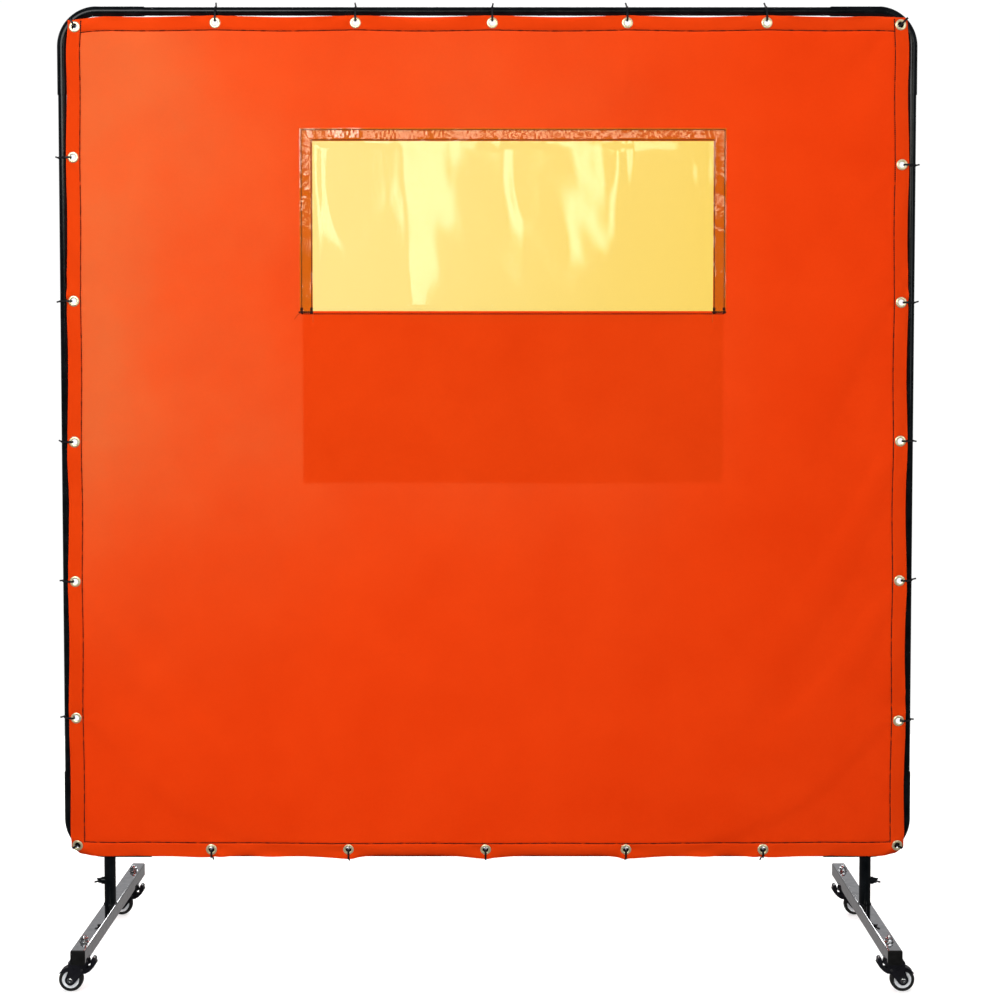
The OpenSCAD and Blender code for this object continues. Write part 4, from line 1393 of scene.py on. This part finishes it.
def make_floor():
    """Round pale floor, which only the camera sees."""
    material, tree, shader = new_material("pale_floor", Roughness=0.9, Specular_IOR_Level=0.1,
                                          Emission_Color=(1.0, 1.0, 1.0), Emission_Strength=0.5)
    stops = [(0.3, (0.52, 0.52, 0.52)), (0.7, (0.55, 0.55, 0.55))]
    drive(shader, "Base Color", ramp(tree, noise(tree, 3.0), stops))
    mesh = bpy.data.meshes.new("studio_floor")
    rim = [(FLOOR_R * c, FLOOR_R * s, 0) for c, s in circle(120)]
    mesh.from_pydata(rim, [], [list(range(len(rim)))])
    mesh.materials.append(material)
    floor = bpy.data.objects.new("studio_floor", mesh)
    floor.visible_diffuse = False
    floor.visible_glossy = False
    bpy.context.scene.collection.objects.link(floor)


def make_world():
    """Surroundings: white to look at, grey for soft light, and darker overhead for reflections."""
    world = bpy.data.worlds.new("studio")
    bpy.context.scene.world = world
    world.use_nodes = True
    tree = world.node_tree
    way = add_node(tree, "SeparateXYZ", {"Vector": add_node(tree, "TexCoord").outputs["Generated"]})
    height = range_of(tree, way.outputs["Z"], 0.0, 1.0, -1.0, 1.0)
    soft = tree.nodes["Background"]
    drive(soft, "Color", ramp(tree, height, [(0.25, (0.13, 0.13, 0.135)), (0.8, (0.36, 0.36, 0.365))]))
    mirrored = add_node(tree, "Background")
    drive(mirrored, "Color", ramp(tree, height, [
        (0.05, (0.10, 0.10, 0.10)), (0.33, (0.26, 0.25, 0.25)), (0.5, (0.15, 0.145, 0.145)),
        (0.64, (0.38, 0.38, 0.39)), (0.8, (0.06, 0.065, 0.07)), (1.0, (0.04, 0.045, 0.05))]))
    strength = calc(tree, "MAXIMUM", range_of(tree, way.outputs["Y"], 0.12, 1.0, -0.75, 0.15),
                    range_of(tree, height, 0.0, 0.6, 0.575, 0.62))
    drive(mirrored, "Strength", strength)
    white = add_node(tree, "Background", values={"Color": (1, 1, 1, 1), "Strength": 1.02})
    path = add_node(tree, "LightPath")
    seen = calc(tree, "MAXIMUM", path.outputs["Is Camera Ray"], path.outputs["Is Transmission Ray"])
    shader = soft.outputs["Background"]
    for factor, other in ((path.outputs["Is Glossy Ray"], mirrored), (seen, white)):
        shader = mix_shaders(tree, factor, shader, other.outputs["Background"])
    drive(tree.nodes["World Output"], "Surface", shader)


def make_lights():
    """Soft studio lights; two upright strips beside the camera shine in the window."""
    add_area("key", (-1.5, -3.0, 2.7), (-0.1, 0, 1.2), (1.8, 1.6), 76)
    add_area("fill", (2.6, -3.4, 2.0), (0.3, 0, 1.2), (1.2, 1.8), 24)
    low = add_area("low", (-0.5, -3.3, 0.75), (-0.1, 0, 0.8), (1.6, 0.8), 62)
    top = add_area("top", (0, 0.2, 4.4), (0, 0.2, 0), (6.0, 6.0), 280)
    top.visible_glossy = low.visible_glossy = False
    add_area("behind", (0.0, 3.0, 2.5), (0, 0, 1.2), (3.0, 2.4), 150)
    warm = (1.0, 0.93, 0.75)
    add_area("left_strip", (-0.33, -4.6, 2.0), (0, 0, 1.6), (0.34, 0.9), 7, warm)
    add_area("right_strip", (0.35, -4.6, 2.1), (0, 0, 1.6), (0.18, 0.7), 3.5, warm)
    # These four lie above what the window's middle mirrors, and light the border's creases
    for x, z, width, height in ((-1.05, 2.30, 0.34, 0.6), (-0.02, 2.44, 0.20, 0.34),
                                (0.75, 2.50, 0.30, 0.34), (1.30, 2.33, 0.34, 0.5)):
        add_area("crease_light", (x, -4.6, z), (0, 0, 1.75), (width, height), 22 * width * height, warm)


def make_camera():
    """Slightly raised camera with a long lens, right of the screen's middle by a hand."""
    data = bpy.data.cameras.new("camera")
    data.sensor_width = 36
    data.lens = 64.2
    data.shift_y = -0.08
    camera = bpy.data.objects.new("camera", data)
    camera.location = (0.0276, -3.886, 1.335)
    camera.rotation_euler = (math.radians(90 - 2.42), 0, 0)
    bpy.context.scene.collection.objects.link(camera)
    bpy.context.scene.camera = camera
    bpy.context.scene.view_settings.view_transform = "Standard"


# ---------------------------------------------------------------- making

make_camera()
make_floor()
make_world()
make_lights()
finish_cad_nodes()

curtain_piece = make_curtain()
hem_piece = make_hem()
hem_thread = make_hem_stitches()
grommet_piece = make_grommets()
make_ties()

pane_piece = make_pane()
window_thread = make_window_stitches()
sill_piece = make_sill()
make_tape("loop_tape", "window_loop_strips", "screen", layer(-0.45 * MM), layer(-1.3 * MM))
flap_piece, flap_thread, flap_tape = make_flap()
make_flap_seam()

for side_name in SIDES:
    weld_bead(side_name)
    wing_bolt(side_name)
    end_caps(side_name)
    stem_hardware(side_name)
    for end_name in ENDS:
        caster(end_name, side_name)
